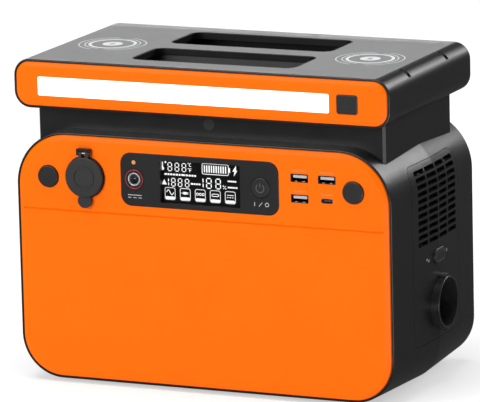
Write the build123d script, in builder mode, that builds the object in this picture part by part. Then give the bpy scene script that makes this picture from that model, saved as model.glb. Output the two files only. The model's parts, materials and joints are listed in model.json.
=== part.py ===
"""Portable power station: a body of two shells under a wide handle head.

Everything is drawn in millimetres with X to the right, Y to the back and Z up.
While it is drawn, x = 0 is the middle plane, y = 0 the body's front rim and z = 0
the body's underside at the front. save() moves each piece into the part's frame,
whose origin is on the floor under the middle of the whole footprint.
"""

from build123d import *
from math import sin
import os

os.makedirs("parts", exist_ok=True)

# Body: two tapered shells that meet at the parting plane, where it is widest.
BODY_WIDTH = 320.0
BODY_HEIGHT = 199.3
BODY_DEPTH = 170.0
PARTING = 87.0
SIDE_SWELL = 3.0
TOP_SWELL = 1.2
BOTTOM_SWELL = 1.2
UPPER_CORNER = 44.0
LOWER_CORNER = 35.0
WALL = 3.0
GAP = 0.35

# Front opening: a thin rim, a pocket for the orange panel and a ledge behind it.
RIM = 1.6
POCKET = 4.5
LEDGE = 9.0
LEDGE_BACK = 7.0

# Head: a flat rounded box as wide and deep as the body.
HEAD_LOW = 217.5
HEAD_HIGH = 256.5
HEAD_CORNER = 13.5
HEAD_RIM = 1.7
HEAD_POCKET = 4.0
HEAD_MIDDLE = (HEAD_LOW + HEAD_HIGH) / 2

# Neck between the body and the head.
NECK_HALF = 148.2
NECK_FRONT = 17.4
NECK_BACK = 154.0
NECK_CHAMFER = 2.0

# Top plate and the two grip openings in it.
PLATE_HALF = 148.6
PLATE_FRONT = 4.6
PLATE_BACK = 155.0
PLATE_THICK = 2.0
GRIP_HALF = 71.0
GRIP_DEPTH = 54.0
GRIP_CORNER = 10.0
GRIP_LIP = 1.4
GRIP_MIDDLES = (49.0, 122.0)
BAR_MIDDLE = 85.5
TUB_FLOOR = 209.0
TUB_WALL = 2.0
TUB_HALF = 79.0
TUB_FRONT, TUB_BACK = 15.0, 153.5

# Feet and frame.
FOOT_HEIGHT = 3.0
FOOT_SIZE = (26.0, 18.0)
FOOT_X = 99.0
FOOT_Y = (20.0, 146.0)

# Controls on the front, as (x, z).
LEFT_BUTTON = (-131.4, 163.7)
RIGHT_BUTTON = (129.2, 167.1)
ROUND_BUTTON = 17.4
SLEEVE_BORE = 10.6
CAR_SOCKET = (-99.0, 165.2)
CAR_BORE = 10.5
CAR_DEPTH = 42.0
CAR_FLANGE = 16.9
BEZEL_LEFT, BEZEL_RIGHT = -68.3, 66.7
BEZEL_LOW, BEZEL_HIGH = 144.6, 187.0
BEZEL_CORNER = 9.0
LAMP = (-56.9, 179.4)
DC_JACK = (-56.4, 166.1)
LCD_CENTRE = (-0.2, 165.5)
LCD_SIZE = (68.4, 33.8)
POWER = (51.3, 166.0)
POWER_SIZE = 16.0
USB_A = ((84.2, 175.7), (107.2, 175.6), (84.2, 159.4))
USB_A_SIZE = (14.5, 6.3)
USB_C = (107.1, 159.0)
USB_C_SIZE = (9.9, 3.8)
GROOVE_Z = 137.1

# Front faces, as depths behind the rim: less than zero stands proud of it.
FIELD = -1.8
BEZEL_FACE = -2.2
HEAD_FIELD = -1.4

# Light on the head, as (x, z).
LENS_LEFT, LENS_RIGHT = -138.8, 110.0
LENS_LOW, LENS_HIGH = 228.0, 243.2
LIGHT_BUTTON = (125.1, 235.7)
LIGHT_BUTTON_SIZE = (17.2, 14.9)

# Side windows and their panels: outline in (y, z), then the grille.
WINDOW_Y = (38.5, 133.5)
WINDOW_Z = (35.5, 179.5)
WINDOW_CORNER = 9.0
SLOT_COLUMNS = (58.7, 78.8, 98.9, 119.0)
SLOT_WIDTH = 18.0
SLOT_ROWS = 11
SLOT_LOWEST = 116.4
SLOT_PITCH = 5.71
SLOT_HEIGHT = 3.6
SLOT_CORNER = 1.2

# Mains socket and its push button on the right side, as (y, z).
MAINS = (91.0, 63.6)
MAINS_OUTER = 20.5
MAINS_RECESS = 19.2
MAINS_FACE = 169.4
MAINS_FLOOR = 151.4
AC_BUTTON = (88.0, 101.5)
AC_BUTTON_SIZE = (22.0, 12.0)

# Battery: cylindrical cells standing in two holders.
CELL_RADIUS = 16.1
CELL_LENGTH = 70.5
CELL_PITCH = 34.0
CELL_COLUMNS, CELL_ROWS = 7, 4
CELL_MIDDLE = (-18.0, 83.0)
CELL_BASE = 16.0
HOLDER_SIZE = (CELL_COLUMNS * CELL_PITCH + 2, CELL_ROWS * CELL_PITCH + 2)

# Fan behind the right grille, as (y, z).
FAN = (87.5, 143.0)
FAN_SIZE = 60.0
FAN_THICK = 20.0
FAN_X = 127.0

# Screw bosses that join the two shells, as (x, z).
BOSSES = [(-139, 184), (139, 184), (-145, 15), (145, 15), (0, 192.5), (0, 6.5)]
BOSS_RADIUS = 5.0
NECK_BOSSES = [(x, y) for x in (-100.0, 100.0) for y in (36.0, 134.0)]

# The drawing's point that becomes the frame's origin.
ORIGIN = (3.2, 81.65, -FOOT_HEIGHT)


def save(name, piece):
    """Labels a finished piece, moves it into the part's frame and writes its STEP file."""
    moved = piece.moved(Location((-ORIGIN[0], -ORIGIN[1], -ORIGIN[2])))
    moved.label = name
    export_step(moved, f"parts/{name}.step")


def facing_front(depth):
    """Sketch plane this far behind the front rim, looking out of the front."""
    return Plane.XZ.offset(-depth)


def facing_right(x):
    """Sketch plane across the body at this x, drawn in (y, z)."""
    return Plane.YZ.offset(x)


def swell(depth):
    """0 at the front and rear faces of the body and 1 at the parting plane."""
    if depth <= PARTING:
        return depth / PARTING
    return (BODY_DEPTH - depth) / (BODY_DEPTH - PARTING)


def body_outline(depth, inset):
    """The body's rounded outline at this depth, inset, in the active sketch."""
    share = swell(depth)
    half = BODY_WIDTH / 2 + SIDE_SWELL * share - inset
    low = inset - BOTTOM_SWELL * share
    high = BODY_HEIGHT + TOP_SWELL * share - inset
    with Locations((0, (low + high) / 2)):
        Rectangle(2 * half, high - low)
    fillet(vertices().group_by(Axis.Y)[0], LOWER_CORNER - 2 * share - inset)
    fillet(vertices().group_by(Axis.Y)[-1], UPPER_CORNER - inset)


def body_loft(near, far, inset, mode=Mode.ADD):
    """The body between two depths on one side of the parting plane, inset."""
    with BuildSketch(facing_front(near)) as near_end:
        body_outline(near, inset)
    with BuildSketch(facing_front(far)) as far_end:
        body_outline(far, inset)
    loft([near_end.sketch.face(), far_end.sketch.face()], mode=mode)


def head_outline(inset):
    """The head's rounded outline, inset, in the active sketch."""
    with Locations((0, HEAD_MIDDLE)):
        RectangleRounded(
            BODY_WIDTH - 2 * inset, HEAD_HIGH - HEAD_LOW - 2 * inset, HEAD_CORNER - inset
        )


def window_outline(gap):
    """The side window's outline, made smaller by the gap, in the active sketch."""
    width = WINDOW_Y[1] - WINDOW_Y[0] - 2 * gap
    height = WINDOW_Z[1] - WINDOW_Z[0] - 2 * gap
    with Locations((sum(WINDOW_Y) / 2, sum(WINDOW_Z) / 2)):
        RectangleRounded(width, height, WINDOW_CORNER - gap)


def cut_side_windows():
    """Opens both side windows in the active shell."""
    for side in (-1, 1):
        with BuildSketch(facing_right(side * 146)) as window:
            window_outline(0)
        extrude(window.sketch, amount=side * 30, mode=Mode.SUBTRACT)


def cut_neck_passage():
    """Cable passage and screw holes up into the neck, through the body's top wall."""
    with BuildSketch(Plane.XY.offset(BODY_HEIGHT - 8)) as holes:
        with Locations((0, PARTING)):
            RectangleRounded(60, 40, 6)
        with Locations(*NECK_BOSSES):
            Circle(2.1)
    extrude(holes.sketch, amount=12, mode=Mode.SUBTRACT)


# ---------------------------------------------------------------- body shells

with BuildPart() as front_shell:
    body_loft(0, PARTING, 0)
    fillet(front_shell.faces().sort_by(Axis.Y)[0].edges(), 0.9)
    with BuildSketch(facing_front(-1)):
        body_outline(0, RIM)
    extrude(amount=-POCKET - 1, mode=Mode.SUBTRACT)
    with BuildSketch(facing_front(POCKET - 1)):
        body_outline(0, LEDGE)
    extrude(amount=-5, mode=Mode.SUBTRACT)
    body_loft(LEDGE_BACK, PARTING, WALL, Mode.SUBTRACT)
    with BuildSketch(facing_front(LEDGE_BACK - 1)):
        with Locations(*BOSSES):
            Circle(BOSS_RADIUS)
    extrude(amount=-(PARTING - LEDGE_BACK + 1))
    with BuildSketch(facing_front(PARTING)):
        with Locations(*BOSSES):
            Circle(1.9)
    extrude(amount=22, mode=Mode.SUBTRACT)
    cut_side_windows()
    cut_neck_passage()
save("front_shell", front_shell.part)

with BuildPart() as rear_shell:
    body_loft(PARTING, BODY_DEPTH, 0)
    fillet(rear_shell.faces().sort_by(Axis.Y)[-1].edges(), 2.5)
    body_loft(PARTING, BODY_DEPTH - WALL, WALL, Mode.SUBTRACT)
    with BuildSketch(facing_front(PARTING)):
        with Locations(*BOSSES):
            Circle(BOSS_RADIUS)
    extrude(amount=-(BODY_DEPTH - PARTING - 1))
    with BuildSketch(facing_front(PARTING)):
        with Locations(*BOSSES):
            Circle(2.1)
    extrude(amount=-(BODY_DEPTH - PARTING), mode=Mode.SUBTRACT)
    with BuildSketch(facing_front(BODY_DEPTH)):
        with Locations(*BOSSES):
            Circle(3.8)
    extrude(amount=BODY_DEPTH - PARTING - 12, mode=Mode.SUBTRACT)
    # Shallow field for a rating plate, left blank.
    with BuildSketch(facing_front(BODY_DEPTH)):
        with Locations((0, 92)):
            RectangleRounded(150, 70, 6)
    extrude(amount=0.8, mode=Mode.SUBTRACT)
    cut_side_windows()
    cut_neck_passage()
save("rear_shell", rear_shell.part)

# Case screws: pan heads at the bottom of the counterbores in the rear shell.
with BuildPart() as case_screws:
    with BuildSketch(facing_front(PARTING + 12)):
        with Locations(*BOSSES):
            Circle(3.5)
    extrude(amount=-2.6)
    with BuildSketch(facing_front(PARTING + 12)):
        with Locations(*BOSSES):
            Circle(1.75)
    extrude(amount=30)
    with BuildSketch(facing_front(PARTING + 14.6)):
        with Locations(*BOSSES):
            Rectangle(4, 0.9)
            Rectangle(0.9, 4)
    extrude(amount=1.2, mode=Mode.SUBTRACT)
save("case_screws", case_screws.part)

with BuildPart() as feet:
    with BuildSketch(Plane.XY.offset(-FOOT_HEIGHT)):
        with Locations(*[(side * FOOT_X, y) for side in (-1, 1) for y in FOOT_Y]):
            RectangleRounded(*FOOT_SIZE, 5)
    extrude(amount=FOOT_HEIGHT + 1)
    fillet(feet.faces().filter_by(Plane.XY).group_by(Axis.Z)[0].edges(), 0.8)
    body_loft(0, PARTING, 0, Mode.SUBTRACT)
    body_loft(PARTING, BODY_DEPTH, 0, Mode.SUBTRACT)
save("feet", feet.part)

# ---------------------------------------------------------------- front panel


def bevelled_panel(outline, edge, back, steps):
    """A panel whose edge falls away: outline(inset) swept back through (inset, depth) steps."""
    with BuildPart() as panel:
        with BuildSketch(facing_front(back)):
            outline(edge)
        extrude(amount=back - steps[0][1])
        for (inset_a, depth_a), (inset_b, depth_b) in zip(steps, steps[1:]):
            for inset, depth in ((inset_a, depth_a), (inset_b, depth_b)):
                with BuildSketch(facing_front(depth)):
                    outline(inset)
            loft()
    return panel.part


PANEL_EDGE = RIM + 0.2
HINGE_AXIS = (-4.0, 184.4)
HINGE_HALF = 6.0

with BuildPart() as front_panel:
    add(
        bevelled_panel(
            lambda inset: body_outline(0, inset),
            PANEL_EDGE,
            POCKET,
            ((PANEL_EDGE, 0.8), (PANEL_EDGE + 0.7, -0.4), (PANEL_EDGE + 4.0, FIELD)),
        )
    )
    with BuildSketch(facing_front(POCKET)):
        with Locations(LEFT_BUTTON, RIGHT_BUTTON):
            Circle(ROUND_BUTTON / 2 + 0.35)
        with Locations(CAR_SOCKET):
            Circle(13.2)
        with Locations(*USB_A):
            RectangleRounded(USB_A_SIZE[0] + 0.4, USB_A_SIZE[1] + 0.4, 0.8)
        with Locations(USB_C):
            RectangleRounded(USB_C_SIZE[0] + 0.3, USB_C_SIZE[1] + 0.3, 1.7)
        with Locations(((BEZEL_LEFT + BEZEL_RIGHT) / 2, (BEZEL_LOW + BEZEL_HIGH) / 2)):
            RectangleRounded(
                BEZEL_RIGHT - BEZEL_LEFT + 0.3, BEZEL_HIGH - BEZEL_LOW + 0.3, BEZEL_CORNER
            )
    extrude(amount=POCKET - FIELD + 1, mode=Mode.SUBTRACT)
    # Sleeves behind the panel that guide the round buttons and hold their switches.
    with BuildSketch(facing_front(POCKET)):
        with Locations(LEFT_BUTTON, RIGHT_BUTTON):
            Circle(SLEEVE_BORE + 1.6)
            Circle(SLEEVE_BORE, mode=Mode.SUBTRACT)
    extrude(amount=-19)
    # Groove across the flat field.
    with BuildSketch(facing_right(-154)):
        with BuildLine():
            Polyline(
                (FIELD - 0.01, GROOVE_Z - 0.8),
                (FIELD - 0.01, GROOVE_Z + 0.8),
                (FIELD + 0.9, GROOVE_Z),
                close=True,
            )
        make_face()
    extrude(amount=308, mode=Mode.SUBTRACT)
save("front_panel", front_panel.part)

# ---------------------------------------------------------------- control bezel

with BuildPart() as control_bezel:
    with BuildSketch(facing_front(POCKET)):
        with Locations(((BEZEL_LEFT + BEZEL_RIGHT) / 2, (BEZEL_LOW + BEZEL_HIGH) / 2)):
            RectangleRounded(BEZEL_RIGHT - BEZEL_LEFT, BEZEL_HIGH - BEZEL_LOW, BEZEL_CORNER)
    extrude(amount=POCKET - BEZEL_FACE)
    fillet(control_bezel.faces().sort_by(Axis.Y)[0].edges(), 0.5)
    with BuildSketch(facing_front(POCKET)):
        with Locations(LAMP):
            Circle(1.9)
        with Locations(DC_JACK):
            Circle(8.1)
        with Locations(POWER):
            Circle(POWER_SIZE / 2 + 0.3)
        with Locations(LCD_CENTRE):
            RectangleRounded(LCD_SIZE[0] + 0.2, LCD_SIZE[1] + 0.2, 1.6)
    extrude(amount=POCKET - BEZEL_FACE, mode=Mode.SUBTRACT)
save("control_bezel", control_bezel.part)

with BuildPart() as display_window:
    with BuildSketch(facing_front(2.0)):
        with Locations(LCD_CENTRE):
            RectangleRounded(*LCD_SIZE, 1.5)
    extrude(amount=2.0 - (BEZEL_FACE + 0.15))
save("display_window", display_window.part)

# LCD glass in a shallow frame, with its backlight, behind the window.
with BuildPart() as lcd_module:
    with BuildSketch(facing_front(POCKET + 5.5)):
        with Locations(LCD_CENTRE):
            RectangleRounded(LCD_SIZE[0] + 8, LCD_SIZE[1] + 5, 1.5)
    extrude(amount=5)
    with BuildSketch(facing_front(POCKET + 0.5)):
        with Locations(LCD_CENTRE):
            Rectangle(LCD_SIZE[0] - 1, LCD_SIZE[1] - 1)
    extrude(amount=POCKET + 0.5 - 2.3)
save("lcd_module", lcd_module.part)

with BuildPart() as display_board:
    with BuildSketch(facing_front(14.0)):
        with Locations(((BEZEL_LEFT + BEZEL_RIGHT) / 2, (BEZEL_LOW + BEZEL_HIGH) / 2)):
            Rectangle(132, 40)
        with Locations(DC_JACK):
            Circle(9, mode=Mode.SUBTRACT)
    extrude(amount=1.6)
    # Tact switch under the power button and a connector.
    with BuildSketch(facing_front(12.4)):
        with Locations(POWER):
            Rectangle(6, 6)
    extrude(amount=3.0)
    with BuildSketch(facing_front(14.0)):
        with Locations((20, 150)):
            Rectangle(16, 6)
    extrude(amount=-7)
    # Spacers that stand on the back of the bezel.
    with BuildSketch(facing_front(12.4)):
        with Locations((-2.25, 166)):
            with GridLocations(124.5, 30, 2, 2):
                Circle(2.2)
    extrude(amount=12.4 - POCKET)
save("display_board", display_board.part)

with BuildPart() as indicator_lamp:
    with BuildSketch(facing_front(12.4)):
        with Locations(LAMP):
            Circle(1.75)
    extrude(amount=12.4 - BEZEL_FACE)
    fillet(indicator_lamp.faces().sort_by(Axis.Y)[0].edges(), 0.6)
save("indicator_lamp", indicator_lamp.part)

# ---------------------------------------------------------------- DC input

with BuildPart() as dc_jack_ring:
    with BuildSketch(facing_front(3.0)):
        with Locations(DC_JACK):
            Circle(7.9)
            Circle(5.5, mode=Mode.SUBTRACT)
    extrude(amount=3.0 - (BEZEL_FACE - 0.8))
    chamfer(dc_jack_ring.faces().sort_by(Axis.Y)[0].edges(), 0.5)
save("dc_jack_ring", dc_jack_ring.part)

with BuildPart() as dc_jack:
    with BuildSketch(facing_front(16.0)):
        with Locations(DC_JACK):
            Circle(5.35)
    extrude(amount=16.0 - (BEZEL_FACE - 0.6))
    with BuildSketch(facing_front(9.0)):
        with Locations(DC_JACK):
            Circle(4.0)
            Circle(0.6, mode=Mode.SUBTRACT)
    extrude(amount=12, mode=Mode.SUBTRACT)
    with BuildSketch(facing_front(0.8)):
        with Locations(DC_JACK):
            Circle(2.0)
    extrude(amount=6, mode=Mode.SUBTRACT)
save("dc_jack", dc_jack.part)

# ---------------------------------------------------------------- push buttons


def round_button(centre, diameter, face, back, stem):
    """A round cap with a dished face, a retaining flange behind the panel and a stem."""
    with BuildPart() as button:
        with BuildSketch(facing_front(back)):
            with Locations(centre):
                Circle(diameter / 2)
        extrude(amount=back - face)
        fillet(button.faces().sort_by(Axis.Y)[0].edges(), 0.7)
        with BuildSketch(facing_front(back + 1.2)):
            with Locations(centre):
                Circle(diameter / 2 + 1.2)
        extrude(amount=1.2)
        with BuildSketch(facing_front(back + 1.2)):
            with Locations(centre):
                Circle(2.2)
        extrude(amount=-stem)
    return button.part


BUTTON_FACE = FIELD - 1.8
save("dc_button", round_button(LEFT_BUTTON, ROUND_BUTTON, BUTTON_FACE, POCKET + 0.3, 5.9))
save("usb_button", round_button(RIGHT_BUTTON, ROUND_BUTTON, BUTTON_FACE, POCKET + 0.3, 5.9))
save("power_button", round_button(POWER, POWER_SIZE, BEZEL_FACE - 0.8, POCKET + 0.9, 1.6))

# Sealed switch cans behind the two round buttons, held by the panel's sleeves.
with BuildPart() as button_switches:
    with BuildSketch(facing_front(POCKET + 9.2)):
        with Locations(LEFT_BUTTON, RIGHT_BUTTON):
            Circle(SLEEVE_BORE)
    extrude(amount=-10)
save("button_switches", button_switches.part)

# ---------------------------------------------------------------- car socket

with BuildPart() as car_socket_body:
    with BuildSketch(facing_front(CAR_DEPTH)):
        with Locations(CAR_SOCKET):
            Circle(13.0)
    extrude(amount=CAR_DEPTH - (FIELD - 0.6))
    with BuildSketch(facing_front(FIELD)):
        with Locations(CAR_SOCKET):
            Circle(CAR_FLANGE)
    extrude(amount=0.6)
    with BuildSketch(facing_front(CAR_DEPTH - 3)):
        with Locations(CAR_SOCKET):
            Circle(CAR_BORE + 0.7)
    extrude(amount=CAR_DEPTH, mode=Mode.SUBTRACT)
save("car_socket_body", car_socket_body.part)

with BuildPart() as car_socket_liner:
    with BuildSketch(facing_front(CAR_DEPTH - 3)):
        with Locations(CAR_SOCKET):
            Circle(CAR_BORE + 0.7)
            Circle(CAR_BORE, mode=Mode.SUBTRACT)
    extrude(amount=CAR_DEPTH - 3.6)
save("car_socket_liner", car_socket_liner.part)

with BuildPart() as car_socket_contact:
    with BuildSketch(facing_front(CAR_DEPTH - 3)):
        with Locations(CAR_SOCKET):
            Circle(4.0)
    extrude(amount=1.5)
    with BuildSketch(facing_front(CAR_DEPTH - 4.5)):
        with Locations(CAR_SOCKET):
            Circle(2.0)
    extrude(amount=2.5)
    fillet(car_socket_contact.faces().sort_by(Axis.Y)[0].edges(), 0.8)
save("car_socket_contact", car_socket_contact.part)

CAP_BACK = FIELD - 0.9
CAP_FACE = CAP_BACK - 3.4
CAP_RADIUS = 16.0
LEG_MIDDLES = (-2.9, 2.9)
LEG_WIDTH = 2.6
LEG_THICK = 2.6

with BuildPart() as car_socket_cover:
    with BuildSketch(facing_front(CAP_BACK)):
        with Locations(CAR_SOCKET):
            Circle(CAP_RADIUS)
    extrude(amount=CAP_BACK - CAP_FACE)
    fillet(car_socket_cover.faces().sort_by(Axis.Y)[0].edges(), 1.0)
    # Raised ring on the face.
    with BuildSketch(facing_front(CAP_FACE)):
        with Locations(CAR_SOCKET):
            Circle(9.2)
            Circle(8.0, mode=Mode.SUBTRACT)
    extrude(amount=0.6)
    # Hollow plug that closes the bore; its end is narrow enough to swing out.
    with BuildSketch(facing_front(CAP_BACK)):
        with Locations(CAR_SOCKET):
            Circle(CAR_BORE - 0.5)
    with BuildSketch(facing_front(CAP_BACK + 3.4)):
        with Locations(CAR_SOCKET):
            Circle(CAR_BORE - 1.5)
    loft()
    with BuildSketch(facing_front(CAP_BACK + 3.4)):
        with Locations(CAR_SOCKET):
            Circle(CAR_BORE - 3.2)
    extrude(amount=3.4, mode=Mode.SUBTRACT)
    # Pull tab below and the two strap legs above.
    with BuildSketch(facing_front(CAP_BACK)):
        with Locations((CAR_SOCKET[0], CAR_SOCKET[1] - CAP_RADIUS - 2.8)):
            RectangleRounded(11.6, 11.4, 5.6)
    extrude(amount=2.4)
    with BuildSketch(facing_front(CAP_BACK)):
        with Locations(*[(CAR_SOCKET[0] + x, HINGE_AXIS[1] - 2.3) for x in LEG_MIDDLES]):
            Rectangle(LEG_WIDTH, 4.6)
    extrude(amount=LEG_THICK)
    with BuildSketch(facing_right(CAR_SOCKET[0] - HINGE_HALF)):
        with Locations(HINGE_AXIS):
            Circle(LEG_THICK / 2)
    extrude(amount=2 * HINGE_HALF)
    for x in (-HINGE_HALF + 0.9, 0, HINGE_HALF - 0.9):
        width = 2 * (LEG_MIDDLES[1] - LEG_WIDTH / 2) if x == 0 else 1.8
        with BuildSketch(facing_right(CAR_SOCKET[0] + x - width / 2)):
            with Locations(HINGE_AXIS):
                Rectangle(4, 4)
        extrude(amount=width, mode=Mode.SUBTRACT)
    with BuildSketch(facing_right(CAR_SOCKET[0] - HINGE_HALF)):
        with Locations(HINGE_AXIS):
            Circle(0.8)
    extrude(amount=2 * HINGE_HALF, mode=Mode.SUBTRACT)
save("car_socket_cover", car_socket_cover.part)

# Staple on the panel that holds the hinge pin above the cover.
with BuildPart() as cover_bracket:
    with BuildSketch(facing_front(FIELD)):
        with Locations((CAR_SOCKET[0], HINGE_AXIS[1] + 2.7)):
            RectangleRounded(2 * HINGE_HALF, 2.0, 0.9)
        for side in (-1, 1):
            with Locations((CAR_SOCKET[0] + side * (HINGE_HALF - 0.65), HINGE_AXIS[1] + 0.9)):
                Rectangle(1.3, 5.0)
    extrude(amount=FIELD - (HINGE_AXIS[0] - 1.3))
    with BuildSketch(facing_right(CAR_SOCKET[0] - HINGE_HALF)):
        with Locations(HINGE_AXIS):
            Circle(0.75)
    extrude(amount=2 * HINGE_HALF, mode=Mode.SUBTRACT)
save("cover_bracket", cover_bracket.part)

with BuildPart() as cover_pin:
    with BuildSketch(facing_right(CAR_SOCKET[0] - HINGE_HALF)):
        with Locations(HINGE_AXIS):
            Circle(0.74)
    extrude(amount=2 * HINGE_HALF)
save("cover_pin", cover_pin.part)

# ---------------------------------------------------------------- USB sockets


def usb_sockets(centres, size, corner, skin, tongue, tongue_rise):
    """Stamped shells open at the front, each with the plastic tongue inside it."""
    front, back = FIELD + 0.3, 14.0
    with BuildPart() as sockets:
        with BuildSketch(facing_front(back)):
            with Locations(*centres):
                RectangleRounded(*size, corner)
        extrude(amount=back - front)
        with BuildSketch(facing_front(back - 1.5)):
            with Locations(*centres):
                RectangleRounded(size[0] - 2 * skin, size[1] - 2 * skin, corner * 0.6)
        extrude(amount=back, mode=Mode.SUBTRACT)
        with BuildSketch(facing_front(back - 1.5)):
            with Locations(*[(x, z + tongue_rise) for x, z in centres]):
                Rectangle(*tongue)
        extrude(amount=back - 1.5 - (front + 1.2))
    return sockets.part


save("usb_a_sockets", usb_sockets(USB_A, USB_A_SIZE, 0.6, 0.5, (11.2, 1.9), 1.0))
save("usb_c_socket", usb_sockets([USB_C], USB_C_SIZE, 1.6, 0.5, (6.8, 0.8), 0))

with BuildPart() as usb_board:
    with BuildSketch(facing_front(15.6)):
        with Locations((93.5, 167)):
            Rectangle(43, 38)
    extrude(amount=1.6)
    with BuildSketch(facing_front(15.6)):
        with Locations((95, 178), (95, 160)):
            Rectangle(14, 10)
    extrude(amount=-9)
save("usb_board", usb_board.part)

# ---------------------------------------------------------------- side panels


def side_height(climb):
    """z of a point on the body's side from its climb along the side and over the top corner."""
    start = BODY_HEIGHT - UPPER_CORNER
    if climb <= start:
        return climb
    return start + UPPER_CORNER * sin((climb - start) / UPPER_CORNER)


def grille_panel():
    """The right-hand side panel with its grille, following both tapers of the body."""
    with BuildPart() as panel:
        body_loft(WINDOW_Y[0] - 5, PARTING, 0)
        body_loft(PARTING, WINDOW_Y[1] + 5, 0)
        body_loft(WINDOW_Y[0] - 5, PARTING, WALL, Mode.SUBTRACT)
        body_loft(PARTING, WINDOW_Y[1] + 5, WALL, Mode.SUBTRACT)
        with BuildSketch(facing_right(140)):
            window_outline(GAP)
        extrude(amount=40, mode=Mode.INTERSECT)
        # Four snap tongues that reach behind the shells' walls.
        with BuildSketch(facing_right(154.6)):
            with Locations(*[(y, z) for y in (WINDOW_Y[0], WINDOW_Y[1]) for z in (60, 135)]):
                Rectangle(12, 14)
        extrude(amount=2.2)
        with BuildSketch(facing_right(154.6)):
            for y, inward in ((WINDOW_Y[0], 1), (WINDOW_Y[1], -1)):
                with Locations(*[(y + inward * 3.3, z) for z in (60, 135)]):
                    Rectangle(5.4, 14)
        extrude(amount=4.2)
        with BuildSketch(facing_right(140)):
            for row in range(SLOT_ROWS):
                height = side_height(SLOT_LOWEST + SLOT_PITCH * row)
                with Locations(*[(y, height) for y in SLOT_COLUMNS]):
                    RectangleRounded(SLOT_WIDTH, SLOT_HEIGHT, SLOT_CORNER)
        extrude(amount=40, mode=Mode.SUBTRACT)
    return panel.part


with BuildPart() as side_panel_right:
    add(grille_panel())
    # Posts for the fan's corners, longer below than under the rounded top.
    for height, length in ((-29.5, 12.5), (27.3, 10.8)):
        with BuildSketch(facing_right(FAN_X + FAN_THICK)):
            with Locations(*[(FAN[0] + side * 27, FAN[1] + height) for side in (-1, 1)]):
                Rectangle(4, 3)
        extrude(amount=length)
    # Walls that hold the switch behind the push button.
    with BuildSketch(facing_right(137)):
        with Locations(*[(AC_BUTTON[0] + side * 14.2, AC_BUTTON[1]) for side in (-1, 1)]):
            Rectangle(1.6, 11)
    extrude(amount=23.2)
    with BuildSketch(facing_right(140)):
        with Locations(MAINS):
            Circle(MAINS_OUTER + GAP)
        with Locations(AC_BUTTON):
            SlotOverall(AC_BUTTON_SIZE[0] + 0.6, AC_BUTTON_SIZE[1] + 0.6)
    extrude(amount=40, mode=Mode.SUBTRACT)
save("side_panel_right", side_panel_right.part)

with BuildPart() as side_panel_left:
    mirror(grille_panel(), about=Plane.YZ)
save("side_panel_left", side_panel_left.part)

# ---------------------------------------------------------------- mains socket

CONTACT_OFFSET = 9.5
CONTACT_RADIUS = 2.5

with BuildPart() as mains_socket_housing:
    with BuildSketch(facing_right(MAINS_FLOOR - 22)):
        with Locations(MAINS):
            Circle(MAINS_OUTER)
    extrude(amount=MAINS_FACE - MAINS_FLOOR + 22)
    fillet(mains_socket_housing.faces().sort_by(Axis.X)[-1].edges(), 0.6)
    # Flange behind the side panel.
    with BuildSketch(facing_right(156.2)):
        with Locations(MAINS):
            Circle(MAINS_OUTER + 3.5)
    extrude(amount=2.2)
    with BuildSketch(facing_right(MAINS_FLOOR)):
        with Locations(MAINS):
            Circle(MAINS_RECESS)
    extrude(amount=30, mode=Mode.SUBTRACT)
    with BuildSketch(facing_right(MAINS_FLOOR - 20)):
        with Locations(MAINS):
            Circle(MAINS_RECESS)
    extrude(amount=20, mode=Mode.SUBTRACT)
    # Lugs above and below the collar.
    with BuildSketch(facing_right(163)):
        for side in (-1, 1):
            with Locations((MAINS[0], MAINS[1] + side * (MAINS_OUTER + 0.6))):
                Rectangle(6, 3)
        with Locations(MAINS):
            Circle(MAINS_RECESS + 0.6, mode=Mode.SUBTRACT)
    extrude(amount=MAINS_FACE - 163 - 0.8)
    # Seats of the two earth clips.
    with BuildSketch(facing_right(MAINS_FLOOR - 20)):
        for side in (-1, 1):
            with Locations((MAINS[0], MAINS[1] + side * (MAINS_RECESS + 0.4))):
                Rectangle(5.2, 1.6)
    extrude(amount=30, mode=Mode.SUBTRACT)
save("mains_socket_housing", mains_socket_housing.part)

with BuildPart() as mains_socket_insert:
    with BuildSketch(facing_right(MAINS_FLOOR - 20)):
        with Locations(MAINS):
            Circle(MAINS_RECESS)
        for side in (-1, 1):
            with Locations((MAINS[0], MAINS[1] + side * (MAINS_RECESS - 0.4))):
                Rectangle(5.2, 4.0, mode=Mode.SUBTRACT)
            with Locations((MAINS[0] + side * CONTACT_OFFSET, MAINS[1])):
                Circle(3.3, mode=Mode.SUBTRACT)
    extrude(amount=20)
    fillet(mains_socket_insert.faces().sort_by(Axis.X)[-1].edges().filter_by(GeomType.CIRCLE), 0.4)
save("mains_socket_insert", mains_socket_insert.part)

with BuildPart() as mains_contacts:
    with BuildSketch(facing_right(MAINS_FLOOR - 20)):
        with Locations(*[(MAINS[0] + side * CONTACT_OFFSET, MAINS[1]) for side in (-1, 1)]):
            Circle(3.25)
            Circle(CONTACT_RADIUS, mode=Mode.SUBTRACT)
    extrude(amount=18)
save("mains_contacts", mains_contacts.part)

# Earth clips: a spring strip in each seat, with its nose bent into the recess.
with BuildPart() as earth_clips:
    for side in (-1, 1):
        wall = MAINS[1] + side * (MAINS_RECESS + 1.0)
        with BuildSketch(Plane.XZ.offset(-MAINS[0] + 2.5)):
            with BuildLine():
                Polyline(
                    (MAINS_FLOOR - 16, wall),
                    (MAINS_FLOOR + 9.5, wall),
                    (MAINS_FLOOR + 9.5, wall - side * 0.8),
                    (MAINS_FLOOR + 5.5, wall - side * 3.0),
                    (MAINS_FLOOR + 1.5, wall - side * 3.0),
                    (MAINS_FLOOR + 1.5, wall - side * 2.2),
                    (MAINS_FLOOR + 5.0, wall - side * 2.2),
                    (MAINS_FLOOR + 7.5, wall - side * 0.8),
                    (MAINS_FLOOR - 16, wall - side * 0.8),
                    close=True,
                )
            make_face()
        extrude(amount=-5)
save("earth_clips", earth_clips.part)

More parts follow.
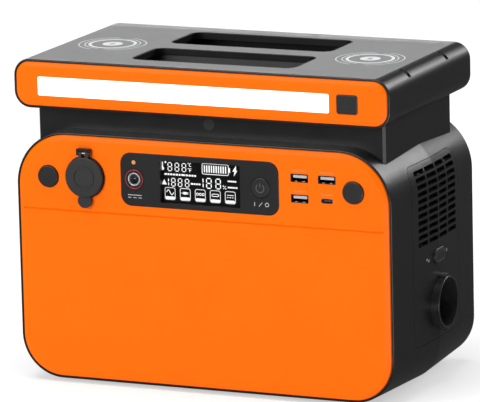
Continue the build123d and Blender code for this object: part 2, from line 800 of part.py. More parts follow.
with BuildPart() as ac_button:
    with BuildSketch(facing_right(154.5)):
        with Locations(AC_BUTTON):
            SlotOverall(*AC_BUTTON_SIZE)
    extrude(amount=164.3 - 154.5)
    fillet(ac_button.faces().sort_by(Axis.X)[-1].edges(), 1.0)
    with BuildSketch(facing_right(154.5)):
        with Locations(AC_BUTTON):
            SlotOverall(AC_BUTTON_SIZE[0] + 2.4, AC_BUTTON_SIZE[1] + 2.4)
    extrude(amount=1.5)
    with BuildSketch(facing_right(154.5)):
        with Locations(AC_BUTTON):
            Circle(2.4)
    extrude(amount=-4)
save("ac_button", ac_button.part)

with BuildPart() as ac_switch:
    with BuildSketch(facing_right(148.9)):
        with Locations(AC_BUTTON):
            Rectangle(26.8, 11)
    extrude(amount=-12)
save("ac_switch", ac_switch.part)

# ---------------------------------------------------------------- fan

with BuildPart() as fan_frame:
    with BuildSketch(facing_right(FAN_X)):
        with Locations(FAN):
            RectangleRounded(FAN_SIZE, FAN_SIZE, 4)
            Circle(28.5, mode=Mode.SUBTRACT)
            with GridLocations(50, 50, 2, 2):
                Circle(2.1, mode=Mode.SUBTRACT)
    extrude(amount=FAN_THICK)
    # Motor hub with its axle, held by three spokes on the inner side.
    with BuildSketch(facing_right(FAN_X)):
        with Locations(FAN):
            Circle(11)
            with PolarLocations(19.5, 3):
                Rectangle(20, 3)
    extrude(amount=2.5)
    with BuildSketch(facing_right(FAN_X + 2.5)):
        with Locations(FAN):
            Circle(1.5)
    extrude(amount=12)
save("fan_frame", fan_frame.part)

with BuildPart() as fan_rotor:
    with BuildSketch(facing_right(FAN_X + 3.2)):
        with Locations(FAN):
            Circle(12)
    extrude(amount=14.8)
    fillet(fan_rotor.faces().sort_by(Axis.X)[-1].edges(), 1.5)
    with BuildSketch(facing_right(FAN_X + 3.2)):
        with Locations(FAN):
            Circle(1.55)
    extrude(amount=11.8, mode=Mode.SUBTRACT)
    # Seven blades, each pitched about its own radius.
    for blade in range(7):
        turn = blade * 360 / 7
        hub = Plane.YZ.offset(FAN_X + 10.5) * Location((FAN[0], FAN[1], 0), (0, 0, turn))
        root = Plane(hub * Location((11.5, 0, 0), (0, 90, 0)))
        with BuildSketch(root):
            Rectangle(1.4, 13, rotation=42)
        extrude(amount=15.5)
save("fan_rotor", fan_rotor.part)

# ---------------------------------------------------------------- neck and head

with BuildPart() as neck:
    with BuildSketch(Plane.XY.offset(176)):
        with Locations((0, (NECK_FRONT + NECK_BACK) / 2)):
            Rectangle(2 * NECK_HALF, NECK_BACK - NECK_FRONT)
        chamfer(vertices(), NECK_CHAMFER)
    extrude(amount=HEAD_LOW - 176)
    with BuildSketch(Plane.XY.offset(176)):
        with Locations((0, (NECK_FRONT + NECK_BACK) / 2)):
            Rectangle(2 * NECK_HALF - 2 * WALL, NECK_BACK - NECK_FRONT - 2 * WALL)
    extrude(amount=HEAD_LOW - 176 - WALL, mode=Mode.SUBTRACT)
    # Opening in the deck for the grip tub.
    with BuildSketch(Plane.XY.offset(HEAD_LOW - WALL)):
        with Locations((0, BAR_MIDDLE)):
            RectangleRounded(2 * TUB_HALF, 126, 8)
    extrude(amount=WALL, mode=Mode.SUBTRACT)
    with BuildSketch(Plane.XY.offset(BODY_HEIGHT - 4)):
        with Locations(*NECK_BOSSES):
            Circle(5)
    extrude(amount=HEAD_LOW - BODY_HEIGHT + 4)
    with BuildSketch(Plane.XY.offset(BODY_HEIGHT - 4)):
        with Locations(*NECK_BOSSES):
            Circle(1.9)
    extrude(amount=15, mode=Mode.SUBTRACT)
    body_loft(0, PARTING, 0, Mode.SUBTRACT)
    body_loft(PARTING, BODY_DEPTH, 0, Mode.SUBTRACT)
    # Seats of the round plugs at the front and back.
    with BuildSketch(facing_front(NECK_FRONT)):
        with Locations((0, 209.3)):
            Circle(5)
    extrude(amount=-1.2, mode=Mode.SUBTRACT)
    with BuildSketch(facing_front(NECK_BACK)):
        with Locations((0, 209.3)):
            Circle(5)
    extrude(amount=1.2, mode=Mode.SUBTRACT)
save("neck", neck.part)

with BuildPart() as neck_plugs:
    for depth, outward in ((NECK_FRONT + 1.2, 1), (NECK_BACK - 1.2, -1)):
        with BuildSketch(facing_front(depth)):
            with Locations((0, 209.3)):
                Circle(4.85)
        extrude(amount=outward * 1.4)
save("neck_plugs", neck_plugs.part)

# Screws up through the body's top wall into the neck.
with BuildPart() as neck_screws:
    with BuildSketch(Plane.XY.offset(BODY_HEIGHT - WALL)):
        with Locations(*NECK_BOSSES):
            Circle(1.75)
    extrude(amount=13)
    with BuildSketch(Plane.XY.offset(BODY_HEIGHT - WALL)):
        with Locations(*NECK_BOSSES):
            Circle(3.5)
    extrude(amount=-2.6)
    with BuildSketch(Plane.XY.offset(BODY_HEIGHT - WALL - 2.6)):
        with Locations(*NECK_BOSSES):
            Rectangle(4, 0.9)
            Rectangle(0.9, 4)
    extrude(amount=1.2, mode=Mode.SUBTRACT)
save("neck_screws", neck_screws.part)

CAVITY_LOW, CAVITY_HIGH = HEAD_LOW + 3.0, HEAD_HIGH - 4.5
SEAT = HEAD_HIGH - PLATE_THICK

with BuildPart() as head_housing:
    with BuildSketch(facing_front(0)):
        head_outline(0)
    extrude(amount=-BODY_DEPTH)
    fillet(head_housing.faces().sort_by(Axis.Y)[-1].edges(), 3.0)
    fillet(head_housing.faces().sort_by(Axis.Y)[0].edges(), 1.0)
    with BuildSketch(facing_front(-1)):
        head_outline(HEAD_RIM)
    extrude(amount=-HEAD_POCKET - 1, mode=Mode.SUBTRACT)
    with BuildSketch(facing_front(HEAD_POCKET - 1)):
        head_outline(7)
    extrude(amount=-5, mode=Mode.SUBTRACT)
    with BuildSketch(facing_front(6)):
        with Locations((0, (CAVITY_LOW + CAVITY_HIGH) / 2)):
            RectangleRounded(BODY_WIDTH - 6, CAVITY_HIGH - CAVITY_LOW, 10)
    extrude(amount=-(BODY_DEPTH - 9), mode=Mode.SUBTRACT)
    # Seat of the top plate, and the opening under it for the grip tub.
    with BuildSketch(Plane.XY.offset(SEAT)):
        with Locations((0, (PLATE_FRONT + PLATE_BACK) / 2)):
            RectangleRounded(2 * PLATE_HALF, PLATE_BACK - PLATE_FRONT, 2)
    extrude(amount=5, mode=Mode.SUBTRACT)
    with BuildSketch(Plane.XY.offset(CAVITY_HIGH - 1)):
        with Locations((0, (TUB_FRONT + TUB_BACK) / 2)):
            RectangleRounded(2 * TUB_HALF + 0.4, TUB_BACK - TUB_FRONT + 0.4, 8)
    extrude(amount=10, mode=Mode.SUBTRACT)
    with BuildSketch(Plane.XY.offset(HEAD_LOW - 1)):
        with Locations((0, BAR_MIDDLE)):
            RectangleRounded(2 * TUB_HALF, 126, 8)
    extrude(amount=6, mode=Mode.SUBTRACT)
    # Two pairs of small notches over the right-hand edge.
    with BuildSketch(Plane.XY.offset(HEAD_HIGH - 6.2)):
        for y in (47.0, 124.5):
            with Locations((156.2, y)):
                RectangleRounded(6.0, 5.2, 1.6)
    extrude(amount=10, mode=Mode.SUBTRACT)
    with BuildSketch(Plane.XY.offset(HEAD_HIGH - 1.6)):
        for y in (46.0, 123.5):
            with Locations((151.2, y)):
                Circle(1.3)
    extrude(amount=4, mode=Mode.SUBTRACT)
save("head_housing", head_housing.part)

FASCIA_EDGE = HEAD_RIM + 0.2

with BuildPart() as head_fascia:
    add(
        bevelled_panel(
            head_outline,
            FASCIA_EDGE,
            HEAD_POCKET,
            ((FASCIA_EDGE, 0.8), (FASCIA_EDGE + 0.6, -0.3), (FASCIA_EDGE + 3.4, HEAD_FIELD)),
        )
    )
    with BuildSketch(facing_front(HEAD_POCKET)):
        with Locations(((LENS_LEFT + LENS_RIGHT) / 2, (LENS_LOW + LENS_HIGH) / 2)):
            RectangleRounded(LENS_RIGHT - LENS_LEFT, LENS_HIGH - LENS_LOW, 1.5)
        with Locations(LIGHT_BUTTON):
            RectangleRounded(LIGHT_BUTTON_SIZE[0] + 0.5, LIGHT_BUTTON_SIZE[1] + 0.5, 2.2)
    extrude(amount=HEAD_POCKET + 3, mode=Mode.SUBTRACT)
save("head_fascia", head_fascia.part)

with BuildPart() as light_lens:
    with BuildSketch(facing_front(HEAD_POCKET)):
        with Locations(((LENS_LEFT + LENS_RIGHT) / 2, (LENS_LOW + LENS_HIGH) / 2)):
            RectangleRounded(LENS_RIGHT - LENS_LEFT - 0.2, LENS_HIGH - LENS_LOW - 0.2, 1.4)
    extrude(amount=HEAD_POCKET - HEAD_FIELD)
    with BuildSketch(facing_front(HEAD_POCKET + 1.4)):
        with Locations(((LENS_LEFT + LENS_RIGHT) / 2, (LENS_LOW + LENS_HIGH) / 2)):
            RectangleRounded(LENS_RIGHT - LENS_LEFT + 3, LENS_HIGH - LENS_LOW + 3, 2)
    extrude(amount=1.4)
    fillet(light_lens.faces().sort_by(Axis.Y)[0].edges(), 0.4)
save("light_lens", light_lens.part)

LED_COUNT = 24
LED_PITCH = 10.2
BOARD_DEPTH = 14.0

with BuildPart() as light_board:
    with BuildSketch(facing_front(BOARD_DEPTH)):
        with Locations(((LENS_LEFT + LENS_RIGHT) / 2, (LENS_LOW + LENS_HIGH) / 2)):
            Rectangle(LENS_RIGHT - LENS_LEFT, 14)
        with Locations((LIGHT_BUTTON[0] - 5, LIGHT_BUTTON[1])):
            Rectangle(30, 14)
    extrude(amount=1.6)
    with BuildSketch(facing_front(BOARD_DEPTH - 1.6)):
        with Locations(LIGHT_BUTTON):
            Rectangle(6, 6)
    extrude(amount=3)
    # Rails along both edges that stand on the lens's flange.
    with BuildSketch(facing_front(BOARD_DEPTH - 1.6)):
        with Locations(((LENS_LEFT + LENS_RIGHT) / 2, (LENS_LOW + LENS_HIGH) / 2)):
            with GridLocations(1, 12.8, 1, 2):
                Rectangle(LENS_RIGHT - LENS_LEFT - 8, 1.2)
    extrude(amount=BOARD_DEPTH - 1.6 - HEAD_POCKET - 1.4)
save("light_board", light_board.part)

with BuildPart() as light_leds:
    with BuildSketch(facing_front(BOARD_DEPTH - 1.6)):
        with Locations(((LENS_LEFT + LENS_RIGHT) / 2, (LENS_LOW + LENS_HIGH) / 2)):
            with GridLocations(LED_PITCH, 1, LED_COUNT, 1):
                Rectangle(3.5, 2.8)
    extrude(amount=0.8)
save("light_leds", light_leds.part)

with BuildPart() as light_button:
    with BuildSketch(facing_front(HEAD_POCKET + 0.9)):
        with Locations(LIGHT_BUTTON):
            RectangleRounded(*LIGHT_BUTTON_SIZE, 2)
    extrude(amount=HEAD_POCKET + 0.9 - (HEAD_FIELD - 0.7))
    fillet(light_button.faces().sort_by(Axis.Y)[0].edges(), 0.6)
    with BuildSketch(facing_front(HEAD_POCKET + 2.1)):
        with Locations(LIGHT_BUTTON):
            RectangleRounded(LIGHT_BUTTON_SIZE[0] + 2, LIGHT_BUTTON_SIZE[1] + 2, 2)
    extrude(amount=1.2)
    with BuildSketch(facing_front(HEAD_POCKET + 2.1)):
        with Locations(LIGHT_BUTTON):
            Circle(2)
    extrude(amount=-2)
save("light_button", light_button.part)

# ---------------------------------------------------------------- top plate and grip


def grip_windows(inset):
    """The two grip openings, inset, in the active sketch."""
    with Locations(*[(0, y) for y in GRIP_MIDDLES]):
        RectangleRounded(
            2 * GRIP_HALF - 2 * inset, GRIP_DEPTH - 2 * inset, GRIP_CORNER - inset
        )


with BuildPart() as top_plate:
    with BuildSketch(Plane.XY.offset(SEAT)):
        with Locations((0, (PLATE_FRONT + PLATE_BACK) / 2)):
            RectangleRounded(2 * PLATE_HALF - 0.3, PLATE_BACK - PLATE_FRONT - 0.3, 1.9)
    extrude(amount=PLATE_THICK)
    with BuildSketch(Plane.XY.offset(SEAT)):
        grip_windows(0)
    extrude(amount=PLATE_THICK, mode=Mode.SUBTRACT)
save("top_plate", top_plate.part)

TUB_STEP = 222.5

with BuildPart() as grip_tub:
    with BuildSketch(Plane.XY.offset(CAVITY_HIGH - 1)):
        with Locations((0, (TUB_FRONT + TUB_BACK) / 2)):
            RectangleRounded(2 * TUB_HALF, TUB_BACK - TUB_FRONT, 8)
    extrude(amount=SEAT - CAVITY_HIGH + 1)
    # Upper chamber, wider to the back, and the lower one inside the neck.
    with BuildSketch(Plane.XY.offset(TUB_STEP)):
        with Locations((0, 88.5)):
            RectangleRounded(156, 145, 8)
    extrude(amount=CAVITY_HIGH - 1 - TUB_STEP)
    with BuildSketch(Plane.XY.offset(TUB_FLOOR - TUB_WALL)):
        with Locations((0, BAR_MIDDLE)):
            RectangleRounded(154, 122, 8)
    extrude(amount=TUB_STEP - TUB_FLOOR + TUB_WALL)
    with BuildSketch(Plane.XY.offset(TUB_STEP + TUB_WALL)):
        with Locations((0, 88.5)):
            RectangleRounded(156 - 2 * TUB_WALL, 145 - 2 * TUB_WALL, 6)
    extrude(amount=CAVITY_HIGH - 1 - TUB_STEP - TUB_WALL, mode=Mode.SUBTRACT)
    with BuildSketch(Plane.XY.offset(TUB_FLOOR)):
        with Locations((0, BAR_MIDDLE)):
            RectangleRounded(154 - 2 * TUB_WALL, 122 - 2 * TUB_WALL, 6)
    extrude(amount=TUB_STEP - TUB_FLOOR + TUB_WALL, mode=Mode.SUBTRACT)
    # Lips that rise through the plate's openings and end flush with it.
    with BuildSketch(Plane.XY.offset(SEAT)):
        grip_windows(0.2)
    extrude(amount=PLATE_THICK)
    with BuildSketch(Plane.XY.offset(CAVITY_HIGH - 2)):
        grip_windows(GRIP_LIP)
    extrude(amount=10, mode=Mode.SUBTRACT)
    for rim in grip_tub.faces().filter_by(Plane.XY).group_by(Axis.Z)[-1]:
        fillet(rim.inner_wires().edges(), 0.6)
save("grip_tub", grip_tub.part)

BAR_LOW = 231.0
BAR_DEPTH = 18.6

with BuildPart() as carry_bar:
    with BuildSketch(facing_right(-76)):
        with Locations((BAR_MIDDLE, (BAR_LOW + CAVITY_HIGH - 1) / 2)):
            Rectangle(BAR_DEPTH, CAVITY_HIGH - 1 - BAR_LOW)
        fillet(vertices().group_by(Axis.Y)[0], 8)
    extrude(amount=152)
    with BuildSketch(facing_right(-74)):
        with Locations((BAR_MIDDLE, 242)):
            Circle(4.2)
    extrude(amount=148, mode=Mode.SUBTRACT)
save("carry_bar", carry_bar.part)

with BuildPart() as carry_bar_rod:
    with BuildSketch(facing_right(-74)):
        with Locations((BAR_MIDDLE, 242)):
            Circle(4.2)
    extrude(amount=148)
save("carry_bar_rod", carry_bar_rod.part)

PAD_Y = 79.6
PAD_X = 111.2

PADS = [(side * PAD_X, PAD_Y) for side in (-1, 1)]

with BuildPart() as charging_coils:
    with BuildSketch(Plane.XY.offset(CAVITY_HIGH - 2.0)):
        with Locations(*PADS):
            Circle(22)
            Circle(10.5, mode=Mode.SUBTRACT)
    extrude(amount=1.4)
save("charging_coils", charging_coils.part)

with BuildPart() as charging_boards:
    with BuildSketch(Plane.XY.offset(CAVITY_HIGH - 3.0)):
        with Locations(*PADS):
            RectangleRounded(52, 52, 3)
    extrude(amount=1.0)
    with BuildSketch(Plane.XY.offset(CAVITY_HIGH - 2.0)):
        with Locations(*PADS):
            with GridLocations(46, 46, 2, 2):
                Circle(2)
    extrude(amount=2.0)
    with BuildSketch(Plane.XY.offset(CAVITY_HIGH - 3.0)):
        with Locations(*[(x, y + 38) for x, y in PADS]):
            Rectangle(40, 30)
    extrude(amount=-1.6)
    with BuildSketch(Plane.XY.offset(CAVITY_HIGH - 4.6)):
        with Locations(*[(x, y + 40) for x, y in PADS]):
            Rectangle(16, 10)
    extrude(amount=-5)
save("charging_boards", charging_boards.part)

# ---------------------------------------------------------------- battery

with BuildPart() as battery_cells:
    with BuildSketch(Plane.XY.offset(CELL_BASE)):
        with Locations(CELL_MIDDLE):
            with GridLocations(CELL_PITCH, CELL_PITCH, CELL_COLUMNS, CELL_ROWS):
                Circle(CELL_RADIUS)
    extrude(amount=CELL_LENGTH)
save("battery_cells", battery_cells.part)


HOLDER_TOP = CELL_BASE + CELL_LENGTH + 3

# Two trays of round pockets, each closed by a lip with a window for the cell's end.
with BuildPart() as cell_holders:
    for low, pocket in ((CELL_BASE - 3, CELL_BASE), (HOLDER_TOP - 13, HOLDER_TOP - 13)):
        with BuildSketch(Plane.XY.offset(low)):
            with Locations(CELL_MIDDLE):
                RectangleRounded(*HOLDER_SIZE, 6)
        extrude(amount=13)
        with BuildSketch(Plane.XY.offset(pocket)):
            with Locations(CELL_MIDDLE):
                with GridLocations(CELL_PITCH, CELL_PITCH, CELL_COLUMNS, CELL_ROWS):
                    Circle(CELL_RADIUS + 0.2)
        extrude(amount=10, mode=Mode.SUBTRACT)
        with BuildSketch(Plane.XY.offset(low)):
            with Locations(CELL_MIDDLE):
                with GridLocations(CELL_PITCH, CELL_PITCH, CELL_COLUMNS, CELL_ROWS):
                    Circle(12)
        extrude(amount=13, mode=Mode.SUBTRACT)
    # Legs down to the floor of the case.
    with BuildSketch(Plane.XY.offset(CELL_BASE - 3)):
        with Locations(CELL_MIDDLE):
            with GridLocations(2 * CELL_PITCH, 2 * CELL_PITCH, 4, 2):
                Circle(4)
    extrude(amount=-(CELL_BASE - 3 - 2.5))
save("cell_holders", cell_holders.part)

with BuildPart() as bus_strips:
    for level in (CELL_BASE - 3.6, HOLDER_TOP):
        with BuildSketch(Plane.XY.offset(level)):
            with Locations(CELL_MIDDLE):
                with GridLocations(1, CELL_PITCH, 1, CELL_ROWS):
                    Rectangle(CELL_COLUMNS * CELL_PITCH - 8, 12)
        extrude(amount=0.6)
save("bus_strips", bus_strips.part)

# Battery management board on spacers above the upper holder.
BMS_Z = HOLDER_TOP + 5

with BuildPart() as bms_board:
    with BuildSketch(Plane.XY.offset(BMS_Z)):
        with Locations((-90, 83)):
            Rectangle(90, 110)
    extrude(amount=1.6)
    with BuildSketch(Plane.XY.offset(BMS_Z + 1.6)):
        with Locations((-90, 83)):
            with GridLocations(1, 16, 1, 6):
                Rectangle(60, 9)
    extrude(amount=4)
    with BuildSketch(Plane.XY.offset(HOLDER_TOP + 0.6)):
        with Locations((-90, 83)):
            with GridLocations(80, 100, 2, 2):
                Circle(3)
    extrude(amount=BMS_Z - HOLDER_TOP - 0.6)
save("bms_board", bms_board.part)

# ---------------------------------------------------------------- inverter

INVERTER_Z = HOLDER_TOP + 5
INVERTER_MIDDLE = (36.0, 83.0)

with BuildPart() as inverter_board:
    with BuildSketch(Plane.XY.offset(INVERTER_Z)):
        with Locations(INVERTER_MIDDLE):
            Rectangle(150, 130)
    extrude(amount=1.6)
    with BuildSketch(Plane.XY.offset(HOLDER_TOP + 0.6)):
        with Locations((INVERTER_MIDDLE[0] - 10, INVERTER_MIDDLE[1])):
            with GridLocations(120, 110, 2, 2):
                Circle(3)
    extrude(amount=INVERTER_Z - HOLDER_TOP - 0.6)
    # Terminal block of the two battery leads.
    with BuildSketch(Plane.XY.offset(INVERTER_Z + 1.6)):
        with Locations((-10, 47)):
            Rectangle(16, 26)
    extrude(amount=4)
save("inverter_board", inverter_board.part)

with BuildPart() as transformer:
    with BuildSketch(Plane.XY.offset(INVERTER_Z + 1.6)):
        with Locations((20, 60)):
            Rectangle(42, 34)
    extrude(amount=36)
    with BuildSketch(Plane.XY.offset(INVERTER_Z + 8)):
        with Locations((20, 60)):
            RectangleRounded(34, 48, 6)
    extrude(amount=24)
save("transformer", transformer.part)

with BuildPart() as capacitors:
    with BuildSketch(Plane.XY.offset(INVERTER_Z + 1.6)):
        with Locations((84, 50)):
            with GridLocations(20, 20, 2, 3):
                Circle(8)
    extrude(amount=30)
    fillet(capacitors.faces().sort_by(Axis.Z)[-6:].edges(), 1.0)
save("capacitors", capacitors.part)

with BuildPart() as heat_sink:
    with BuildSketch(Plane.XY.offset(INVERTER_Z + 1.6)):
        with Locations((50, 118)):
            Rectangle(90, 4)
            with GridLocations(6, 1, 15, 1):
                Rectangle(1.8, 34)
    extrude(amount=38)
save("heat_sink", heat_sink.part)

# Two flat link bars from the management board to the inverter's terminal block.
with BuildPart() as link_bars:
    with BuildSketch(Plane.XY.offset(BMS_Z + 5.6)):
        with Locations((-36, 41), (-36, 53)):
            RectangleRounded(60, 8, 1.5)
    extrude(amount=1.5)
save("link_bars", link_bars.part)
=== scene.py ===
import json
import math

import bmesh
import bpy
from mathutils import Matrix, Vector


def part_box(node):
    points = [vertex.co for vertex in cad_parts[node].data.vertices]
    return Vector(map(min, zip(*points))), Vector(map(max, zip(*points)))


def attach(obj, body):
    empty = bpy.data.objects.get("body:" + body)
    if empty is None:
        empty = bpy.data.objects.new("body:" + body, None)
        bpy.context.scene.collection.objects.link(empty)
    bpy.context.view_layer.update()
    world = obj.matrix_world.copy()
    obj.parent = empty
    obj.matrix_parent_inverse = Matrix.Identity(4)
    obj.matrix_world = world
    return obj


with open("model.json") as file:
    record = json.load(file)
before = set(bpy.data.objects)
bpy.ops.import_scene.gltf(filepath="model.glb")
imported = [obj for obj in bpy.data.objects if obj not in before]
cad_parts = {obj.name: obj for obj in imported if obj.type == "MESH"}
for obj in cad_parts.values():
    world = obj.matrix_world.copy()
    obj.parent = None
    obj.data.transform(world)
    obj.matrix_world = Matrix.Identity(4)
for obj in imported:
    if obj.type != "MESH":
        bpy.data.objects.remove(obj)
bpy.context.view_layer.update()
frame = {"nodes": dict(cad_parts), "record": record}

NODES = frame["nodes"]
MM = 0.001

# Places are in millimetres from the body's middle plane, its front rim and its underside.
FOOT_HEIGHT = 3
_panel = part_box("front_panel")
MIDDLE_X = (_panel[0][0] + _panel[1][0]) / 2
RIM_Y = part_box("head_housing")[0][1]
UNDERSIDE_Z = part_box("feet")[0][2] + FOOT_HEIGHT * MM


def at(x, y, z):
    """A point given in millimetres, in the frame's metres."""
    return Vector((MIDDLE_X + x * MM, RIM_Y + y * MM, UNDERSIDE_Z + z * MM))


def face_of(node):
    """How far behind the front rim a node's front face lies, in millimetres."""
    return (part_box(node)[0][1] - RIM_Y) / MM


# ------------------------------------------------------------------ materials


class Shader:
    """A node material with one principled shader and short helpers for its inputs."""

    def __init__(self, name):
        self.material = bpy.data.materials.new(name)
        self.material.use_nodes = True
        self.tree = self.material.node_tree
        self.main = self.tree.nodes["Principled BSDF"]
        self.place = None

    def node(self, kind, **settings):
        made = self.tree.nodes.new(kind)
        for key, value in settings.items():
            setattr(made, key, value)
        return made

    def link(self, output, target):
        self.tree.links.new(output, target)

    def set(self, **sockets):
        for key, value in sockets.items():
            self.main.inputs[key.replace("_", " ")].default_value = value

    def feed(self, key, output):
        self.link(output, self.main.inputs[key])

    def coordinates(self):
        if self.place is None:
            self.place = self.node("ShaderNodeTexCoord").outputs["Object"]
        return self.place

    def noise(self, scale, detail=2.0, rough=0.5, stretch=None):
        source = self.coordinates()
        if stretch:
            mapping = self.node("ShaderNodeMapping")
            mapping.inputs["Scale"].default_value = stretch
            self.link(source, mapping.inputs["Vector"])
            source = mapping.outputs["Vector"]
        made = self.node("ShaderNodeTexNoise")
        made.inputs["Scale"].default_value = scale
        made.inputs["Detail"].default_value = detail
        made.inputs["Roughness"].default_value = rough
        self.link(source, made.inputs["Vector"])
        return made.outputs["Fac"]

    def remap(self, value, low, high, new_low, new_high):
        made = self.node("ShaderNodeMapRange")
        for key, number in (
            ("From Min", low), ("From Max", high), ("To Min", new_low), ("To Max", new_high),
        ):
            made.inputs[key].default_value = number
        self.link(value, made.inputs["Value"])
        return made.outputs["Result"]

    def spread(self, noise, low, high):
        """Noise from low to high: its usable values lie around the middle."""
        return self.remap(noise, 0.3, 0.7, low, high)

    def mix(self, factor, first, second):
        """A colour between two fixed ones."""
        made = self.node("ShaderNodeMix", data_type="RGBA")
        self.link(factor, made.inputs["Factor"])
        for key, value in (("A", first), ("B", second)):
            socket = [s for s in made.inputs if s.name == key and s.type == "RGBA"][0]
            socket.default_value = (*value, 1)
        return [s for s in made.outputs if s.type == "RGBA"][0]

    def add_scaled(self, base, extra, factor):
        """base + extra * factor"""
        made = self.node("ShaderNodeMath", operation="MULTIPLY_ADD")
        self.link(extra, made.inputs[0])
        made.inputs[1].default_value = factor
        self.link(base, made.inputs[2])
        return made.outputs["Value"]

    def bump(self, height, strength, distance):
        made = self.node("ShaderNodeBump")
        made.inputs["Strength"].default_value = strength
        made.inputs["Distance"].default_value = distance * MM
        self.link(height, made.inputs["Height"])
        self.feed("Normal", made.outputs["Normal"])


def scaled(colour, factor):
    return tuple(min(1.0, channel * factor) for channel in colour)


def moulded(name, colour, rough, specular=0.4, grain=0.45, depth=0.03, mottle=0.06, scuffs=0.1):
    """Injection-moulded plastic: spark-eroded grain, cloudy gloss and a few rub marks.

    grain and depth are the grain's pitch and height in millimetres.
    """
    s = Shader(name)
    s.set(Specular_IOR_Level=specular)
    cloud = s.noise(28, 4, 0.6)
    rubs = s.noise(60, 3, 0.7, stretch=(1.0, 1.6, 9.0))
    worn = s.remap(rubs, 0.60, 0.74, 0, 1)
    gloss = s.spread(cloud, rough * 0.92, rough * 1.08)
    s.feed("Roughness", s.add_scaled(gloss, worn, scuffs))
    s.feed("Base Color", s.mix(s.spread(cloud, 0, 1),
                               scaled(colour, 1 - mottle), scaled(colour, 1 + mottle)))
    s.bump(s.noise(1 / (grain * MM), 2, 0.6), 0.5, depth)
    return s.material


def metal(name, colour, rough, stretch=None):
    """Metal with a fine drawn or brushed surface and slight stains."""
    s = Shader(name)
    s.set(Metallic=1.0)
    lines = s.noise(5000, 2, 0.6, stretch=stretch)
    stain = s.noise(90, 4, 0.6)
    s.feed("Roughness", s.spread(stain, rough * 0.8, rough * 1.25))
    s.feed("Base Color", s.mix(s.spread(stain, 0, 1), scaled(colour, 0.9), scaled(colour, 1.05)))
    s.bump(lines, 0.3, 0.01)
    return s.material


def glowing(name, colour, strength, pitch=None, base=(0.8, 0.8, 0.8)):
    """A lit diffuser with fine ribs, and brighter bands where LEDs sit behind it at a pitch."""
    s = Shader(name)
    s.set(Base_Color=(*base, 1), Roughness=0.35, Emission_Color=(*colour, 1))
    if pitch:
        wave = s.node("ShaderNodeTexWave", wave_type="BANDS", bands_direction="X",
                      wave_profile="SIN")
        wave.inputs["Scale"].default_value = math.pi / 10 / pitch
        s.link(s.coordinates(), wave.inputs["Vector"])
        s.feed("Emission Strength",
               s.remap(wave.outputs["Fac"], 0, 1, strength * 0.94, strength))
    else:
        s.feed("Emission Strength", s.spread(s.noise(300), strength * 0.96, strength))
    s.bump(s.noise(1500, 1, 0.4, stretch=(3.0, 1.0, 0.3)), 0.2, 0.01)
    return s.material


def printed(name, colour):
    """Screen-printed ink that covers a little unevenly."""
    s = Shader(name)
    s.set(Specular_IOR_Level=0.3)
    grain = s.noise(900, 3, 0.6)
    s.feed("Base Color", s.mix(s.spread(grain, 0, 1), scaled(colour, 0.88), scaled(colour, 1.12)))
    s.feed("Roughness", s.spread(grain, 0.495, 0.605))
    s.bump(grain, 0.2, 0.01)
    return s.material


def smoked_glass(name):
    """A thin clear sheet: mostly see-through, a faint uneven shine and a few specks of dust."""
    s = Shader(name)
    s.set(Base_Color=(0.004, 0.004, 0.0045, 1), IOR=1.49, Specular_IOR_Level=0.3)
    s.feed("Roughness", s.remap(s.noise(45, 4, 0.6), 0.35, 0.7, 0.03, 0.09))
    s.feed("Alpha", s.remap(s.noise(900), 0.70, 0.78, 0.10, 0.16))
    return s.material


def circuit(name):
    """Solder mask with lighter tracks under it."""
    s = Shader(name)
    cells = s.node("ShaderNodeTexVoronoi", feature="DISTANCE_TO_EDGE")
    cells.inputs["Scale"].default_value = 260
    s.link(s.coordinates(), cells.inputs["Vector"])
    tracks = s.remap(cells.outputs["Distance"], 0.02, 0.06, 1, 0)
    s.feed("Base Color", s.mix(tracks, (0.008, 0.06, 0.022), (0.02, 0.16, 0.06)))
    s.feed("Roughness", s.spread(s.noise(200), 0.28, 0.42))
    s.bump(tracks, 0.2, 0.03)
    return s.material


LED_PITCH = 10.2
M = {
    "window_glass": smoked_glass("window_glass"),
    "lens": glowing("lens", (1.0, 0.985, 0.96), 1.25, pitch=LED_PITCH * MM),
    "lamp": glowing("lamp", (1.0, 0.30, 0.04), 0.30, base=(0.50, 0.22, 0.06)),
    "circuit": circuit("circuit"),
}
